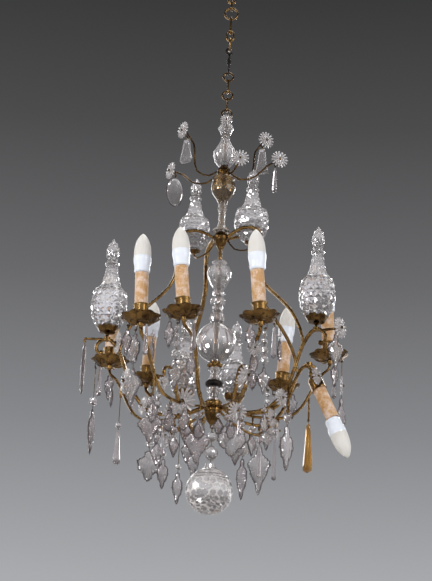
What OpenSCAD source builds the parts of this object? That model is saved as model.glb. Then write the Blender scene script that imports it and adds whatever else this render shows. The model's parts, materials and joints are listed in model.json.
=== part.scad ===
// Cage chandelier: a gilt brass cage dressed with cut glass, eight candle lights, on a short chain.
// The origin is the centre of the top hanging ring; -Y is the front, and everything hangs down -Z.

/* [Chain] */
// Inner radius of the top hanging ring
ring_bore = 9; // [8:0.5:12]
// Radius of the wire that the chain links are bent from
link_wire = 1.8; // [1.4:0.1:2]
// Length of the straight legs of the top link
top_leg = 10; // [9:0.1:14]
// Length of the straight legs of the long links
long_leg = 26; // [20:1:34]
// Radius, at the wire's centre, of the round links
round_r = 12.5; // [11:0.5:14]
// Height of the iron hook between its two eyes
hook_len = 58; // [48:1:70]
// Slack between pieces that hang in each other
hang_gap = 0.3; // [0.3:0.05:0.5]

/* [Cage] */
// Distance from the middle of the chandelier to the candles
candle_reach = 208; // [200:1:216]
// Distance from the middle to the spire seats on the brackets
spire_reach = 200; // [194:1:206]
// Width of the brass straps
strap_w = 5.6; // [4.6:0.2:6.6]
// Thickness of the brass straps
strap_t = 3.4; // [2.8:0.2:4.4]
// Radius of the iron rod through the column
rod_r = 3.6; // [3:0.1:4]
// Radius of the large clear ball in the column
large_ball_r = 37; // [33:1:39]

/* [Candles] */
// Radius of a drip pan
pan_r = 36; // [34:0.5:38]
// Depth of a drip pan
pan_depth = 12; // [10:0.5:14]
// Outer radius of a candle sleeve
sleeve_r = 11.8; // [11.5:0.1:12.5]
// Height of a candle sleeve above its cup
sleeve_h = 60; // [52:1:70]
// Largest radius of a candle bulb
bulb_r = 17.5; // [17:0.5:18.5]
// Length of the bulb that shows above the sleeve
bulb_h = 78; // [74:1:82]
// Height of a lampholder's body
holder_h = 34; // [30:1:38]
// Length of a bulb's screw cap
cap_h = 24; // [20:1:26]

/* [Glass] */
// Radius of the faceted bottom ball
bottom_ball_r = 42; // [38:1:45]
// Thickness of the cut glass plates at their middle
plate_t = 6.5; // [5:0.5:8]
// Height of the outer spires
spire_h = 186; // [176:1:194]
// Largest radius of the outer spires
spire_r = 34; // [30:1:36]
// Height of the rear spires
rear_spire_h = 160; // [152:1:164]
// Largest radius of the rear spires
rear_spire_r = 29; // [26:1:31]
// Distance from the middle to the rear spires' seats
rear_reach = 112; // [108:1:116]
// Height of the inner spires
inner_spire_h = 152; // [144:1:156]
// Largest radius of the inner spires
inner_spire_r = 32; // [28:1:33]

/* [Hidden] */
$fn = 48;
seat = 0.2;
brass = [0.55, 0.4, 0.18];
dark_brass = [0.24, 0.17, 0.09];
iron = [0.08, 0.08, 0.09];
clear = [0.86, 0.85, 0.88, 0.5];
violet = [0.66, 0.6, 0.68, 0.6];
cream = [0.87, 0.72, 0.47];

// Small shared rules

function mirror_x(pts) = concat(pts, [for (i = [len(pts) - 1:-1:0]) [-pts[i][0], pts[i][1]]]);
function spline(a, b, c, d, t) =
  0.5 * (2 * b + (c - a) * t + (2 * a - 5 * b + 4 * c - d) * t * t + (3 * b - a - 3 * c + d) * t * t * t);
function smooth(p, steps) = let (n = len(p) - 1) concat(
  [for (i = [0:n - 1], k = [0:steps - 1])
    spline(p[max(i - 1, 0)], p[i], p[i + 1], p[min(i + 2, n)], k / steps)],
  [p[n]]);
function unit(v) = v / norm(v);
function heading(path, i) = unit(path[min(i + 1, len(path) - 1)] - path[max(i - 1, 0)]);

// Height of a strap's middle at a distance from the column, on its way out
function climb(path, r) = lookup(r, [for (i = [0:len(path) - 1])
    if (i == 0 || path[i][0] > path[i - 1][0]) path[i]]);

// Things are placed by plan angle from the front, distance from the middle, and height.
// In the placed frame -Y points outward and X runs along the ring.
module at(az, r, z) {
  translate([r * sin(az), -r * cos(az), z]) rotate([0, 0, az]) children();
}

// A strap bent in the upright plane through the middle; path points are [distance, height].
// Its section is an oval, w wide and t thick, and it narrows to both ends by the given shares.
module strap(path, w, t, first = 0.5, last = 0.7, sides = 6) {
  n = len(path);
  function share(i) = let (u = i / (n - 1)) min(1, first + (1 - first) * u * 5, last + (1 - last)
      * (1 - u) * 5);
  pts = [for (i = [0:n - 1]) let (h = heading(path, i), s = share(i)) for (k = [0:sides - 1])
    let (a = 360 * (k + 0.5) / sides, u = s * t / 2 * sin(a))
      [s * w / 2 * cos(a), -(path[i][0] - h[1] * u), path[i][1] + h[0] * u]];
  faces = concat(
    [for (i = [0:n - 2], k = [0:sides - 1]) let (j = (k + 1) % sides, a = i * sides, b = a + sides)
      [a + k, b + k, b + j, a + j]],
    [[for (k = [0:sides - 1]) k]],
    [[for (k = [sides - 1:-1:0]) (n - 1) * sides + k]]);
  polyhedron(pts, faces);
}

// Outlines of the cut glass, centred on their own middle, hanging point up

// A kite with cupped edges: w wide and h high, widest at the share `high` of its height
function kite(w, h, high, cups, depth) = mirror_x([for (i = [0:12]) let (
    t = i / 12, full = t < high ? t / high : (1 - t) / (1 - high))
  [max(0.8, w / 2 * pow(full, 0.8) * (1 - depth * abs(sin(180 * cups * t)))), h * (0.5 - t)]]);
// A leaf that swells and tapers, with notched edges
function leaf(w, h, cups, depth) = mirror_x([for (i = [0:14]) let (t = i / 14)
  [max(0.8, w / 2 * pow(sin(180 * pow(t, 0.8)), 0.75) * (1 - depth * abs(cos(180 * cups * t)))),
      h * (0.5 - t)]]);
function oval(w, h) = [for (i = [0:19]) [w / 2 * sin(18 * i), h / 2 * cos(18 * i)]];
function daisy(r, petals) = [for (i = [0:2 * petals - 1]) let (q = i % 2 == 0 ? r : 0.8 * r)
  [q * sin(180 * i / petals), q * cos(180 * i / petals)]];

// A flat cut plate, thickest at its middle and bevelled to its edge, with its top at z
module plate(pts, h, z, t = plate_t, bevel = 0.55) {
  translate([0, 0, z - h / 2]) for (m = [0, 1]) mirror([0, m, 0])
    rotate([90, 0, 0]) linear_extrude(height = t / 2, scale = bevel) polygon(pts);
}
// A smaller cut plate with a raised middle
module small_plate(pts, h, z) {
  translate([0, 0, z - h / 2]) rotate([90, 0, 0]) union() {
    translate([0, 0, -1.5]) linear_extrude(height = 3) polygon(pts);
    translate([0, 0, -2.6]) linear_extrude(height = 5.2) scale(0.62) polygon(pts);
  }
}
// A bar of glass with bevelled sides and pointed ends, with its top at z
module prism(w, h, z, sides = 6, foot = 0.4) {
  translate([0, 0, z - h * 0.12]) cylinder(h = h * 0.12, r1 = w / 2, r2 = w * 0.2, $fn = sides);
  translate([0, 0, z - h * 0.8]) cylinder(h = h * 0.68, r = w / 2, $fn = sides);
  translate([0, 0, z - h]) cylinder(h = h * 0.2, r1 = w * foot / 2, r2 = w / 2, $fn = sides);
}
// A small bead cut to a waist, with its top at z
module bead(d, z) {
  translate([0, 0, z - d / 2]) rotate_extrude($fn = 24)
    polygon([[0, d / 2], [d * 0.28, d / 2], [d / 2, d * 0.18], [d / 2, -d * 0.18], [d * 0.28, -d / 2],
        [0, -d / 2]]);
}
// A daisy of pressed glass that faces outward, with its centre at z
module flower(r, z, petals = 11) {
  translate([0, 1.5, z]) rotate([90, 0, 0]) linear_extrude(height = 3) polygon(daisy(r, petals));
  for (s = [-1, 1]) translate([0, 0, z]) rotate([90 * s, 0, 0]) translate([0, 0, 1.5]) cylinder(h = 1.4,
      r1 = r * 0.5, r2 = r * 0.28);
}
// A wire between two heights, held clear of the glass at both ends
module wire(z1, z2) {
  translate([0, 0, z2 + seat]) cylinder(h = z1 - z2 - 2 * seat, r = wire_r, $fn = 16);
}

// Hooks and eyes: an eye turns round the level pin of its hook

wire_r = 0.6;
pin_r = 0.9;
eye_r = pin_r + hang_gap + wire_r;
hook_side = 3.2;
module eye(leg) {
  rotate([0, 90, 0]) rotate_extrude($fn = 24) translate([eye_r, 0]) circle(r = wire_r, $fn = 16);
  translate([0, 0, -leg + seat]) cylinder(h = leg - seat - eye_r, r = wire_r, $fn = 16);
}
// The hook's pin is at the placed origin. Its stem rises by rise, and its head turns in to the strap
// that carries it.
module hook(rise, headed = true) {
  translate([-2.6, 0, 0]) rotate([0, 90, 0]) cylinder(h = 2.6 + hook_side, r = pin_r, $fn = 16);
  translate([hook_side, 0, -pin_r]) cylinder(h = rise + pin_r, r = pin_r, $fn = 8);
  if (headed) translate([0, 0, rise]) rotate([0, 90, 0]) cylinder(h = hook_side, r = pin_r, $fn = 8);
}
// A hook at the end of a wire that reaches out level from a bracket
module long_hook(reach) {
  hook(4, false);
  translate([hook_side, 0, 4]) rotate([-90, 0, 0]) cylinder(h = reach, r = 1.2, $fn = 8);
  translate([0, reach - 1.2, 4]) rotate([0, 90, 0]) cylinder(h = hook_side, r = 1.2, $fn = 8);
}

// Chain: each link stands a quarter turn from the next

gap2 = 2 * link_wire + hang_gap;
ring_mid = ring_bore + link_wire;
link_end = 4.7;
pitch_long = long_leg + 2 * link_end;
short_leg = 20;
pitch_short = short_leg + 2 * link_end;
oval_end = 6.5;
oval_leg = 8;
pitch_oval = oval_leg + 2 * oval_end;
small_ring_r = 9.5;
// The hanging ring ends below in a small eye for the chain
hanger_eye = 6.5;
eye_neck = 2.7;
// Height of each piece of the chain between the wires of its two ends, from the first link down
pitches = [top_leg + 2 * link_end, 2 * round_r, pitch_long, pitch_oval, 2 * round_r, hook_len,
    2 * small_ring_r, pitch_short,
  2 * small_ring_r, pitch_short, 2 * small_ring_r];
// Height of the lower wire of each piece, from the hanging ring down
function low_wire(i) = i == 0 ? -ring_mid - eye_neck - 2 * hanger_eye : low_wire(i - 1)
    + gap2 - pitches[i - 1];
low = [for (i = [0:len(pitches)]) low_wire(i)];

module half_ring(r, w, angle = 180) {
  rotate([90, 0, 0]) rotate_extrude(angle = angle, $fn = 36) translate([r, 0]) circle(r = w, $fn = 20);
}
// A closed link in the XZ plane with its lower wire at z
module long_link(end, leg, z) {
  translate([0, 0, z + end + leg]) half_ring(end, link_wire);
  translate([0, 0, z + end]) mirror([0, 0, 1]) half_ring(end, link_wire);
  for (s = [-1, 1]) translate([s * end, 0, z + end]) cylinder(h = leg, r = link_wire, $fn = 20);
}
module ring_link(r, z) {
  translate([0, 0, z + r]) half_ring(r, link_wire, 360);
}
module turned() {
  rotate([0, 0, 90]) children();
}
module hanging_ring() color(brass) {
  rotate([90, 0, 0]) rotate_extrude() translate([ring_bore, -link_wire])
    polygon([[0, 0.3], [0, 2 * link_wire - 0.3], [0.3, 2 * link_wire], [2 * link_wire - 1, 2 * link_wire],
      [2 * link_wire, 2 * link_wire - 1], [2 * link_wire, 1], [2 * link_wire - 1, 0], [0.3, 0]]);
  ring_link(hanger_eye, low[0]);
}
module link_1() color(brass) turned() long_link(link_end, top_leg, low[1]);
module link_2() color(brass) ring_link(round_r, low[2]);
module link_3() color(brass) turned() long_link(link_end, long_leg, low[3]);
module link_4() color(brass) long_link(oval_end, oval_leg, low[4]);
module link_5() color(brass) turned() ring_link(round_r, low[5]);
// A black iron hook: two open eyes, a quarter turn apart, on a swelling shank
hook_eye = 6.2;
module iron_hook() color(iron) {
  top = low[6] + hook_len - hook_eye;
  foot = low[6] + hook_eye;
  translate([0, 0, top]) rotate([0, -50, 0]) half_ring(hook_eye, link_wire, 280);
  translate([0, 0, foot]) turned() rotate([0, 130, 0]) half_ring(hook_eye, link_wire, 280);
  translate([0, 0, foot + hook_eye - 1]) rotate_extrude($fn = 32)
    polygon([[0, 0], [1.8, 0], [1.8, 8], [3.6, 11], [4, 20], [2.4, 24], [1.8,
        top - foot - 2 * hook_eye + 2],
      [0, top - foot - 2 * hook_eye + 2]]);
}
module link_6() color(dark_brass) turned() turned() ring_link(small_ring_r, low[7]);
module link_7() color(brass) turned() long_link(link_end, short_leg, low[8]);
module link_8() color(dark_brass) ring_link(small_ring_r, low[9]);
module link_9() color(brass) turned() long_link(link_end, short_leg, low[10]);

// Column, from the crown down; every piece is threaded on the iron rod

hole_r = rod_r + seat;
crown_z = low[11] + link_wire;
module turn(z, pts) {
  translate([0, 0, z]) rotate_extrude($fn = 40) polygon(pts);
}
// A turned piece of height h with its foot at z; sides lists [radius, share of the height]
module threaded(z, h, sides) {
  turn(z, concat([[hole_r, 0]], [for (s = sides) [s[0], s[1] * h]], [[hole_r, h]]));
}
// The crown ring is screwed on the rod's end
module crown_ring() color(dark_brass) {
  translate([0, 0, low[11] + small_ring_r]) half_ring(small_ring_r, link_wire, 360);
  translate([0, 0, crown_z - 16]) rotate_extrude($fn = 32)
    polygon([[0, 6], [hole_r, 6], [hole_r, 0], [9, 0], [9, 4], [6, 7], [4.5, 16 - link_wire], [0,
        16 - link_wire]]);
  translate([0, -8, crown_z - 14]) rotate([90, 0, 0]) cylinder(h = crown_daisy_y - 8 - 2.9 - seat, r = 1.2);
}
crown_daisy_y = 18.4;
rod_top = crown_z - 10 - seat;
baluster_z = -386;
baluster_h = crown_z - 16 - seat - baluster_z;
hub_z = -411;
bowl_z = -466;
flare_z = -524;
cage_hub_z = -558;
urn_z = -640;
ball_z = -744;
collar_z = ball_z - large_ball_r - 13;
spool_z = -830;
bottom_z = -877;
cone_z = -902;

module centre_rod() color(brass) {
  translate([0, 0, cone_z + 3]) cylinder(h = rod_top - cone_z - 3, r = rod_r);
}
module crown_glass() color(clear) {
  threaded(baluster_z, baluster_h, [[10, 0], [13, 0.03], [19, 0.12], [22, 0.24], [21, 0.36], [14, 0.5],
    [9, 0.62], [8.5, 0.76], [12, 0.86], [15, 0.92], [12, 0.99], [9.5, 1]]);
  threaded(bowl_z, 54.6, [[8, 0], [9, 0.1], [14, 0.26], [20, 0.42], [23, 0.62], [22, 0.8], [17, 0.9],
    [22, 0.97], [21, 1]]);
  threaded(flare_z, 57.6, [[8, 0], [16.5, 0.03], [15, 0.1], [9, 0.2], [6.5, 0.34], [6, 0.75], [9, 0.84],
    [7, 0.92], [8, 1]]);
}
module crown_hub() color(dark_brass) {
  threaded(hub_z, 24.6, [[7, 0], [10, 0.12], [12.5, 0.35], [13, 0.6], [10, 0.85], [7, 1]]);
}
module column_glass() color(clear) {
  threaded(urn_z, 55.6, [[8, 0], [10, 0.06], [15, 0.2], [21, 0.42], [23, 0.6], [20, 0.78], [11, 0.9],
      [14, 1]]);
  for (b = [[-655, 14.6, 11], [-670, 14.6, 14], [-684.8, 14.6, 10], [ball_z + large_ball_r + 1, 20.6, 14]])
    threaded(b[0], b[1], [[b[2] * 0.6, 0], [b[2] * 0.92, 0.2], [b[2], 0.5], [b[2] * 0.92, 0.8],
        [b[2] * 0.6, 1]]);
  threaded(collar_z - 23, 22.6, [[12, 0], [9, 0.15], [7.5, 0.5], [9, 0.8], [13, 0.96], [13, 1]]);
  threaded(bottom_z + 19.8 + seat, spool_z - bottom_z - 20 - seat, [[11, 0], [12, 0.1], [8, 0.3], [9, 0.55],
    [13, 0.8], [12, 0.95], [10, 1]]);
}
// Clear ball, blown with a short neck at both ends
module large_ball() color(clear) {
  difference() {
    union() {
      translate([0, 0, ball_z]) sphere(r = large_ball_r, $fn = 64);
      translate([0, 0, ball_z - large_ball_r - 0.8]) cylinder(h = 2 * large_ball_r + 1.6, r = 10);
    }
    translate([0, 0, ball_z - large_ball_r - 2]) cylinder(h = 2 * large_ball_r + 4, r = hole_r);
  }
}
module ball_collar() color(brass) {
  difference() {
    union() {
      translate([0, 0, collar_z]) cylinder(h = 12, r = 9.5);
      for (a = [0:45:315]) rotate([0, 0, a]) translate([10.2, 0, collar_z + 6]) sphere(r = 4.2, $fn = 24);
    }
    translate([0, 0, collar_z - 1]) cylinder(h = 14, r = hole_r);
  }
}
module lower_spool() color(iron) {
  threaded(spool_z, collar_z - 23 - seat - spool_z, [[9, 0], [15.5, 0.25], [16.5, 0.5], [15.5, 0.72],
      [10, 0.86],
    [9, 1]]);
}
module bottom_hub() color(brass) {
  threaded(bottom_z, 19.8, [[15.2, 0], [16, 0.1], [16, 0.35], [15, 0.42], [15, 0.6], [16, 0.66], [16, 0.9],
    [14.6, 1]]);
}
// The cap screws on the rod from below and ends in the ring that holds the bottom ball
module hub_cone() color(dark_brass) {
  turn(cone_z, [[0, 0], [4, 0], [9, 6], [13, 14], [16, 22], [16, 24.8], [hole_r, 24.8], [hole_r, 2.6],
      [0, 2.6]]);
  translate([0, 0, cone_z - 2.6]) rotate([90, 0, 0]) rotate_extrude($fn = 32) translate([3.4, 0])
      circle(r = 1, $fn = 16);
}

// Crown: six wire arms curl up from the crown hub, each with a daisy at its tip

// Plan angle of each crown arm, its kind (0 tall, 1 wide, 2 short), and the plan angle that its daisy faces
crown_arm_list = [[-84, 0, -55], [104, 0, 30], [176, 0, 176], [-112, 1, -60], [74, 1, 20], [28, 2, 0]];
crown_paths = [
  smooth([[13.8, -398], [30, -408], [52, -400], [58, -372], [60, -345], [78, -318]], 2),
  smooth([[13.8, -402], [34, -416], [62, -412], [84, -392], [106, -382]], 2),
  smooth([[13.8, -400], [28, -412], [46, -406], [62, -396]], 2)];
function tip(kind) = crown_paths[kind][len(crown_paths[kind]) - 1];
// Plan angle, distance and arm of each swinging crown drop, and the height of its pin
crown_hung = [[-84, 74, 0], [-112, 100, 1], [104, 74, 0], [74, 100, 1]];
crown_pins = [for (c = crown_hung) [c[0], c[1], climb(crown_paths[c[2]], c[1]) - 8]];
module crown_arms() color(dark_brass) {
  for (a = crown_arm_list) rotate([0, 0, a[0]]) {
    strap(crown_paths[a[1]], 3.4, 3, 1, 0.7);
    translate([0, -tip(a[1])[0], tip(a[1])[1]]) sphere(r = 2.6, $fn = 20);
  }
  for (p = crown_pins) at(p[0], p[1], p[2]) hook(8);
}

// Cage hub: a pinecone knop with two small arms that carry the inner spires

inner_seats = [[-127, 62, -548], [90, 56, -541]];
module cage_hub() color(dark_brass) {
  threaded(cage_hub_z, 33.6, [[5, 0], [6.5, 0.12], [10, 0.3], [13.5, 0.55], [14.5, 0.75], [12, 0.9], [9,
      1]]);
  for (s = inner_seats) rotate([0, 0, s[0]]) {
    strap(smooth([[12.6, -538], [26, -556], [s[1] - 8, s[2] - 16], [s[1], s[2] - 6]], 2), 3.4, 3, 1, 1);
    translate([0, -s[1], s[2] - 8]) rotate_extrude($fn = 24)
      polygon([[0, 0], [3, 0], [4, 3], [11, 6], [12, 8], [0, 8]]);
  }
}
// An eight-sided cut glass spire: finial, collar, flared neck, stepped shoulder and tapered foot
module spire(h, r) {
  rotate([0, 0, 22.5]) rotate_extrude($fn = 8) polygon([[0, 0], [r * 0.32, 0], [r * 0.5, h * 0.05],
      [r * 0.9, h * 0.2],
    [r, h * 0.26], [r, h * 0.3], [r * 0.93, h * 0.32], [r * 0.93, h * 0.355], [r * 0.8, h * 0.37],
        [r * 0.76, h * 0.4],
    [r * 0.58, h * 0.45], [r * 0.42, h * 0.57], [r * 0.3, h * 0.7], [r * 0.42, h * 0.715], [r * 0.42,
        h * 0.735],
    [r * 0.22, h * 0.755], [r * 0.32, h * 0.82], [r * 0.3, h * 0.87], [r * 0.12, h * 0.955], [0, h]]);
}
module inner_spire_left() color(clear) at(inner_seats[0][0], inner_seats[0][1], inner_seats[0][2] + seat)
  rotate([3, 0, 0]) translate([0, 0, 0.6]) spire(inner_spire_h, inner_spire_r);
module inner_spire_right() color(clear) at(inner_seats[1][0], inner_seats[1][1], inner_seats[1][2] + seat)
  spire(inner_spire_h, inner_spire_r);

// Cage: ribs come down from the cage hub to the brackets that rise from the bottom hub

// Plan angles of the brackets, and of the ribs that stand on them
bracket_angles = [-92, 62, 118, -162];
shoulder_z = -745;
rib_path = smooth([[15.5, -534], [44, -521], [78, -530], [84, -560], [79, -600], [92, -638],
  [spire_reach - 78, -670], [spire_reach - 50, -702], [spire_reach - 32, -738], [spire_reach - 25,
      -764]], 2);
bracket_path = smooth([[15.7, -866], [60, -884], [spire_reach - 88, -881], [spire_reach - 57, -850],
  [spire_reach - 40, -812], [spire_reach - 26, -772],
  [spire_reach - 8, shoulder_z - 2], [spire_reach + 8, shoulder_z - 1], [spire_reach + 18, shoulder_z - 12],
  [spire_reach + 16, shoulder_z - 24], [spire_reach + 9, shoulder_z - 26]], 2);
// The rear spires stand between the brackets, on small arms of their own
rear_seats = [[-150, rear_reach, -831], [160, rear_reach, -831]];
rear_path = smooth([[16.3, -874], [48, -888], [rear_reach - 30, -890], [rear_reach - 10, -874],
    [rear_reach - 3, -852],
  [rear_reach, rear_seats[0][2] - 1]], 2);
module cage_ribs() color(brass) {
  for (a = bracket_angles) rotate([0, 0, a]) strap(rib_path, strap_w, strap_t, 1, 0.8);
}
module brackets() color(brass) {
  for (a = bracket_angles) rotate([0, 0, a]) {
    strap(bracket_path, strap_w, strap_t + 0.6, 0.45, 0.6);
    translate([0, -spire_reach, shoulder_z - 1]) cylinder(h = 4, r = 5);
    translate([0, -bracket_path[len(bracket_path) - 1][0], shoulder_z - 26]) sphere(r = 3.2, $fn = 20);
  }
  for (s = rear_seats) {
    rotate([0, 0, s[0]]) strap(rear_path, strap_w, strap_t, 0.45, 1);
    at(s[0], s[1], s[2] - 4) cylinder(h = 4 - seat, r = 5);
  }
  // The left and right brackets reach out to the two large outer drops
  for (d = reach_drops) at(d[0], d[1], d[2]) long_hook(d[1] - spire_reach - 8);
  at(62, 148, right_leaf_z) hook(climb(bracket_path, 148) - right_leaf_z);
  for (a = bracket_angles) at(a, daisy_r, bracket_daisy_z) hook(7);
  still_hooks(bracket_violet, bracket_path);
  still_hooks(bracket_clear, bracket_path);
}
cup_h = 12;
cup_z = shoulder_z + 3 + seat;
outer_seats = [for (a = [-92, 62]) [a, spire_reach, cup_z]];
module spire_cups() color(dark_brass) for (s = concat(outer_seats, rear_seats)) at(s[0], s[1], s[2]) {
  rotate_extrude($fn = 32) polygon([[0, 0], [5, 0], [3.2, 3], [3.2, 6], [6, 8], [4, 10.5], [0, 10.5]]);
  intersection() {
    translate([0, 0, 10]) rotate_extrude($fn = 32)
      polygon([[0, 0], [5, 0], [14.5, 1.2], [21.5, 13], [19.6, 13], [spire_r * 0.36, 2], [0, 2]]);
    linear_extrude(height = 30) polygon([for (i = [0:47]) let (q = 21 - 2.6 * pow(abs(cos(3 * 7.5 * i)), 3))
      [q * sin(7.5 * i), q * cos(7.5 * i)]]);
  }
}
module spire_left() color(clear) at(-92, spire_reach, cup_z + cup_h + seat) spire(spire_h, spire_r);
module spire_right() color(clear) at(62, spire_reach, cup_z + cup_h + seat) spire(spire_h, spire_r);
module rear_spire(i) at(rear_seats[i][0], rear_reach, rear_seats[i][2] + cup_h + seat)
    spire(rear_spire_h, rear_spire_r);
module rear_spire_left() color(clear) rear_spire(0);
module rear_spire_right() color(clear) rear_spire(1);

// Candles

pan_z = -762;
pan_foot = pan_z - pan_depth;
arm_path = smooth([[15.7, -868], [52, -880], [100, -886], [candle_reach - 70, -882], [candle_reach - 48,
    -862],
  [candle_reach - 33, -834], [candle_reach - 16, pan_foot - 29], [candle_reach - 2, pan_foot - 16],
  [candle_reach, pan_foot - 1.2]], 2);
front_path = smooth([[15.7, -866], [60, -884], [98, -868], [114, -836], [130, -802], [candle_reach - 50,
    pan_foot - 12],
  [candle_reach - 18, pan_foot - 12], [candle_reach - 4, pan_foot - 9], [candle_reach, pan_foot - 1.2]], 2);
droop_r = candle_reach - 28;
droop_z = -812;
droop_path = smooth([[15.7, -868], [50, -880], [94, -882], [candle_reach - 80, -864], [candle_reach - 62,
    -832],
  [candle_reach - 48, droop_z + 9], [candle_reach - 34, droop_z + 13], [droop_r, droop_z]], 2);
scroll_path = smooth([[98, -884], [106, -862], [114, -840], [127, -829], [138, -835], [141, -845]], 2);
scroll_angles = [-39.5, 21];
scroll_end = scroll_path[len(scroll_path) - 1];
arm_angles = [-39.5, 21, 86, 142, -141.7, -110];
front_angle = -16;
droop_angle = 74;
// Plan angle, sideways lean, whether the candle hangs head down, and inward lean
candle_list = [[-39.5, -3, 0, 0], [-16, -6, 0, 0], [21, -6, 0, 0], [86, 1, 0, 4], [142, -5, 0, 0],
  [-141.7, -2, 0, 0], [-110, -2, 0, 0], [droop_angle, 0, 1, 0]];
// The frame of a candle has its origin where the pan sits on the arm, and Z along the candle
module candle(i) {
  c = candle_list[i];
  if (c[2] == 1) at(c[0], droop_r, droop_z) rotate([155, 0, 0]) translate([0, 0, 3 * seat]) children();
  else at(c[0], candle_reach, pan_foot) rotate([-c[3], c[1], 0]) children();
}
module each_candle(count = 8) {
  for (i = [0:count - 1]) candle(i) children();
}
cup_foot = 2.4;
cup_top = cup_foot + 32;
cup_in = sleeve_r + seat;
sleeve_z = cup_foot + 12;
sleeve_top = cup_top + sleeve_h;
sleeve_wall = 1;
module candle_arms() color(brass) {
  for (a = arm_angles) rotate([0, 0, a]) {
    strap(arm_path, strap_w, strap_t, 0.45, 1);
  }
  each_candle(7) translate([0, 0, -7]) cylinder(h = 7 - seat, r1 = 3, r2 = 5);
  candle(7) translate([0, 0, -4]) cylinder(h = 4 + cup_foot - seat, r1 = 3, r2 = 5);
  // The front arm rises close to the column and runs out level to its candle
  rotate([0, 0, front_angle]) {
    strap(front_path, strap_w, strap_t, 0.45, 1);
  }
  at(front_angle, centre_kite_r, centre_kite_z) hook(climb(front_path, centre_kite_r) - centre_kite_z);
  rotate([0, 0, droop_angle]) strap(droop_path, strap_w, strap_t, 0.45, 1);
  for (a = scroll_angles) {
    rotate([0, 0, a]) strap(scroll_path, strap_w, strap_t, 1, 0.8);
    at(a, scroll_end[0], scroll_end[1] - 5) hook(5);
  }
  for (d = arm_drops) at(d[0], d[1], d[2]) hook(climb(arm_path, d[1]) - d[2]);
  still_hooks(arm_violet, arm_path);
  still_hooks(arm_clear, arm_path);
  for (a = arm_angles) {
    at(a, ring_r, ring_pin_z) hook(climb(arm_path, ring_r) - ring_pin_z);
    at(a, daisy_r, arm_daisy_z) hook(7);
  }
}
// Drip pans: a shallow dish with scalloped petals. Each ring is [share of the radius, height, share of
// the scallop].
pan_petals = 8;
pan_scallop = 3.6;
module pan() {
  rings = [[0.22, 0, 0], [0.62, pan_depth * 0.3, 0.2], [1, pan_depth, 1], [0.965, pan_depth + 0.3, 1],
    [0.6, pan_depth * 0.3 + 1.6, 0.2], [0.22, cup_foot - seat, 0]];
  n = 3 * pan_petals;
  m = len(rings);
  pts = [for (g = rings, k = [0:n - 1]) let (a = 360 * k / n,
    q = g[0] * pan_r - g[2] * pan_scallop * pow(abs(cos(pan_petals * a / 2)), 3)) [q * cos(a),
        q * sin(a), g[1]]];
  faces = concat(
    [for (i = [0:m - 2], k = [0:n - 1]) let (j = (k + 1) % n, a = i * n, b = a + n) each
      [[a + k, b + k, b + j], [a + k, b + j, a + j]]],
    [[for (k = [0:n - 1]) k]],
    [[for (k = [n - 1:-1:0]) (m - 1) * n + k]]);
  polyhedron(pts, faces);
}
module drip_pans() color(dark_brass) {
  each_candle(7) pan();
  for (d = pan_drops) at(d[0], d[1], d[2]) hook(pan_z - 1 - d[2], false);
  for (a = candle_angles, s = [-1, 1]) at(a + s * pan_side, pan_out, pan_pin_z)
      hook(pan_z - 1 - pan_pin_z, false);
  for (s = strand_list) at(s[0], s[1], pan_pin_z) hook(pan_z - 1 - pan_pin_z, false);
}
module candle_cups() color(brass) each_candle() rotate_extrude() polygon([[0, cup_foot], [7, cup_foot],
    [6, cup_foot + 3],
  [cup_in - 1, cup_foot + 8], [cup_in + 0.9, cup_foot + 12], [cup_in + 0.9, cup_top - 4], [cup_in + 2.4,
      cup_top],
  [cup_in, cup_top], [cup_in, sleeve_z - seat], [0, sleeve_z - seat]]);
module candle_sleeves() color(cream) each_candle() rotate_extrude() polygon([[sleeve_r - sleeve_wall,
    sleeve_z],
  [sleeve_r, sleeve_z], [sleeve_r, sleeve_top], [sleeve_r - sleeve_wall, sleeve_top]]);
// Small-screw lampholders stand inside the sleeves
holder_top = sleeve_top - 6;
holder_r = sleeve_r - sleeve_wall - 1.2;
socket_r = holder_r - 2.2;
module lampholders() color("white") each_candle() rotate_extrude() polygon([[0, sleeve_z], [5, sleeve_z],
  [5, holder_top - holder_h - 4], [holder_r, holder_top - holder_h], [holder_r, holder_top], [socket_r,
      holder_top],
  [socket_r, holder_top - holder_h + 6], [0, holder_top - holder_h + 6]]);
collar_h = bulb_h * 0.4;
module bulb_collars() color("white") each_candle() rotate_extrude() polygon([[0, sleeve_top - cap_h - 6],
  [socket_r - 0.6, sleeve_top - cap_h - 4], [socket_r - 0.6, sleeve_top - 4], [sleeve_r - 1.4,
      sleeve_top + seat],
  [sleeve_r + 1.2, sleeve_top + 1], [bulb_r - 2.3, sleeve_top + 8], [bulb_r - 0.6, sleeve_top + 22],
      [bulb_r, sleeve_top + collar_h], [0, sleeve_top + collar_h]]);
module bulbs() color("white") each_candle() translate([0, 0, sleeve_top + collar_h + 0.05]) rotate_extrude()
  polygon(concat([[0, 0]], [for (t = [0:0.1:1]) [bulb_r * pow(cos(90 * t), 0.85), (bulb_h - collar_h)
      * pow(sin(90 * t), 1.15)]]));

// Daisies of pressed glass on the tips of the crown arms and on the lower arms

daisy_r = 118;
arm_daisy_z = climb(arm_path, daisy_r) - 7;
bracket_daisy_z = climb(bracket_path, daisy_r) - 7;
module rosettes() color(clear) {
  for (a = crown_arm_list) at(a[0], tip(a[1])[0], tip(a[1])[1]) rotate([0, 0, a[2] - a[0]])
    translate([0, -2.9 - 2.7, 0]) flower(15, 0, 12);
  translate([0, -crown_daisy_y, crown_z - 14]) flower(11, 0, 10);
  for (a = arm_angles) at(a, daisy_r, arm_daisy_z) {
    eye(4);
    flower(12.5, -4 - 12.5, 11);
  }
  for (a = bracket_angles) at(a, daisy_r, bracket_daisy_z) {
    eye(4);
    flower(12.5, -4 - 12.5, 11);
  }
  for (a = scroll_angles) at(a, scroll_end[0], scroll_end[1] - 5) {
    eye(3.4);
    flower(10.5, -3.4 - 10.5, 11);
  }
}

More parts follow.
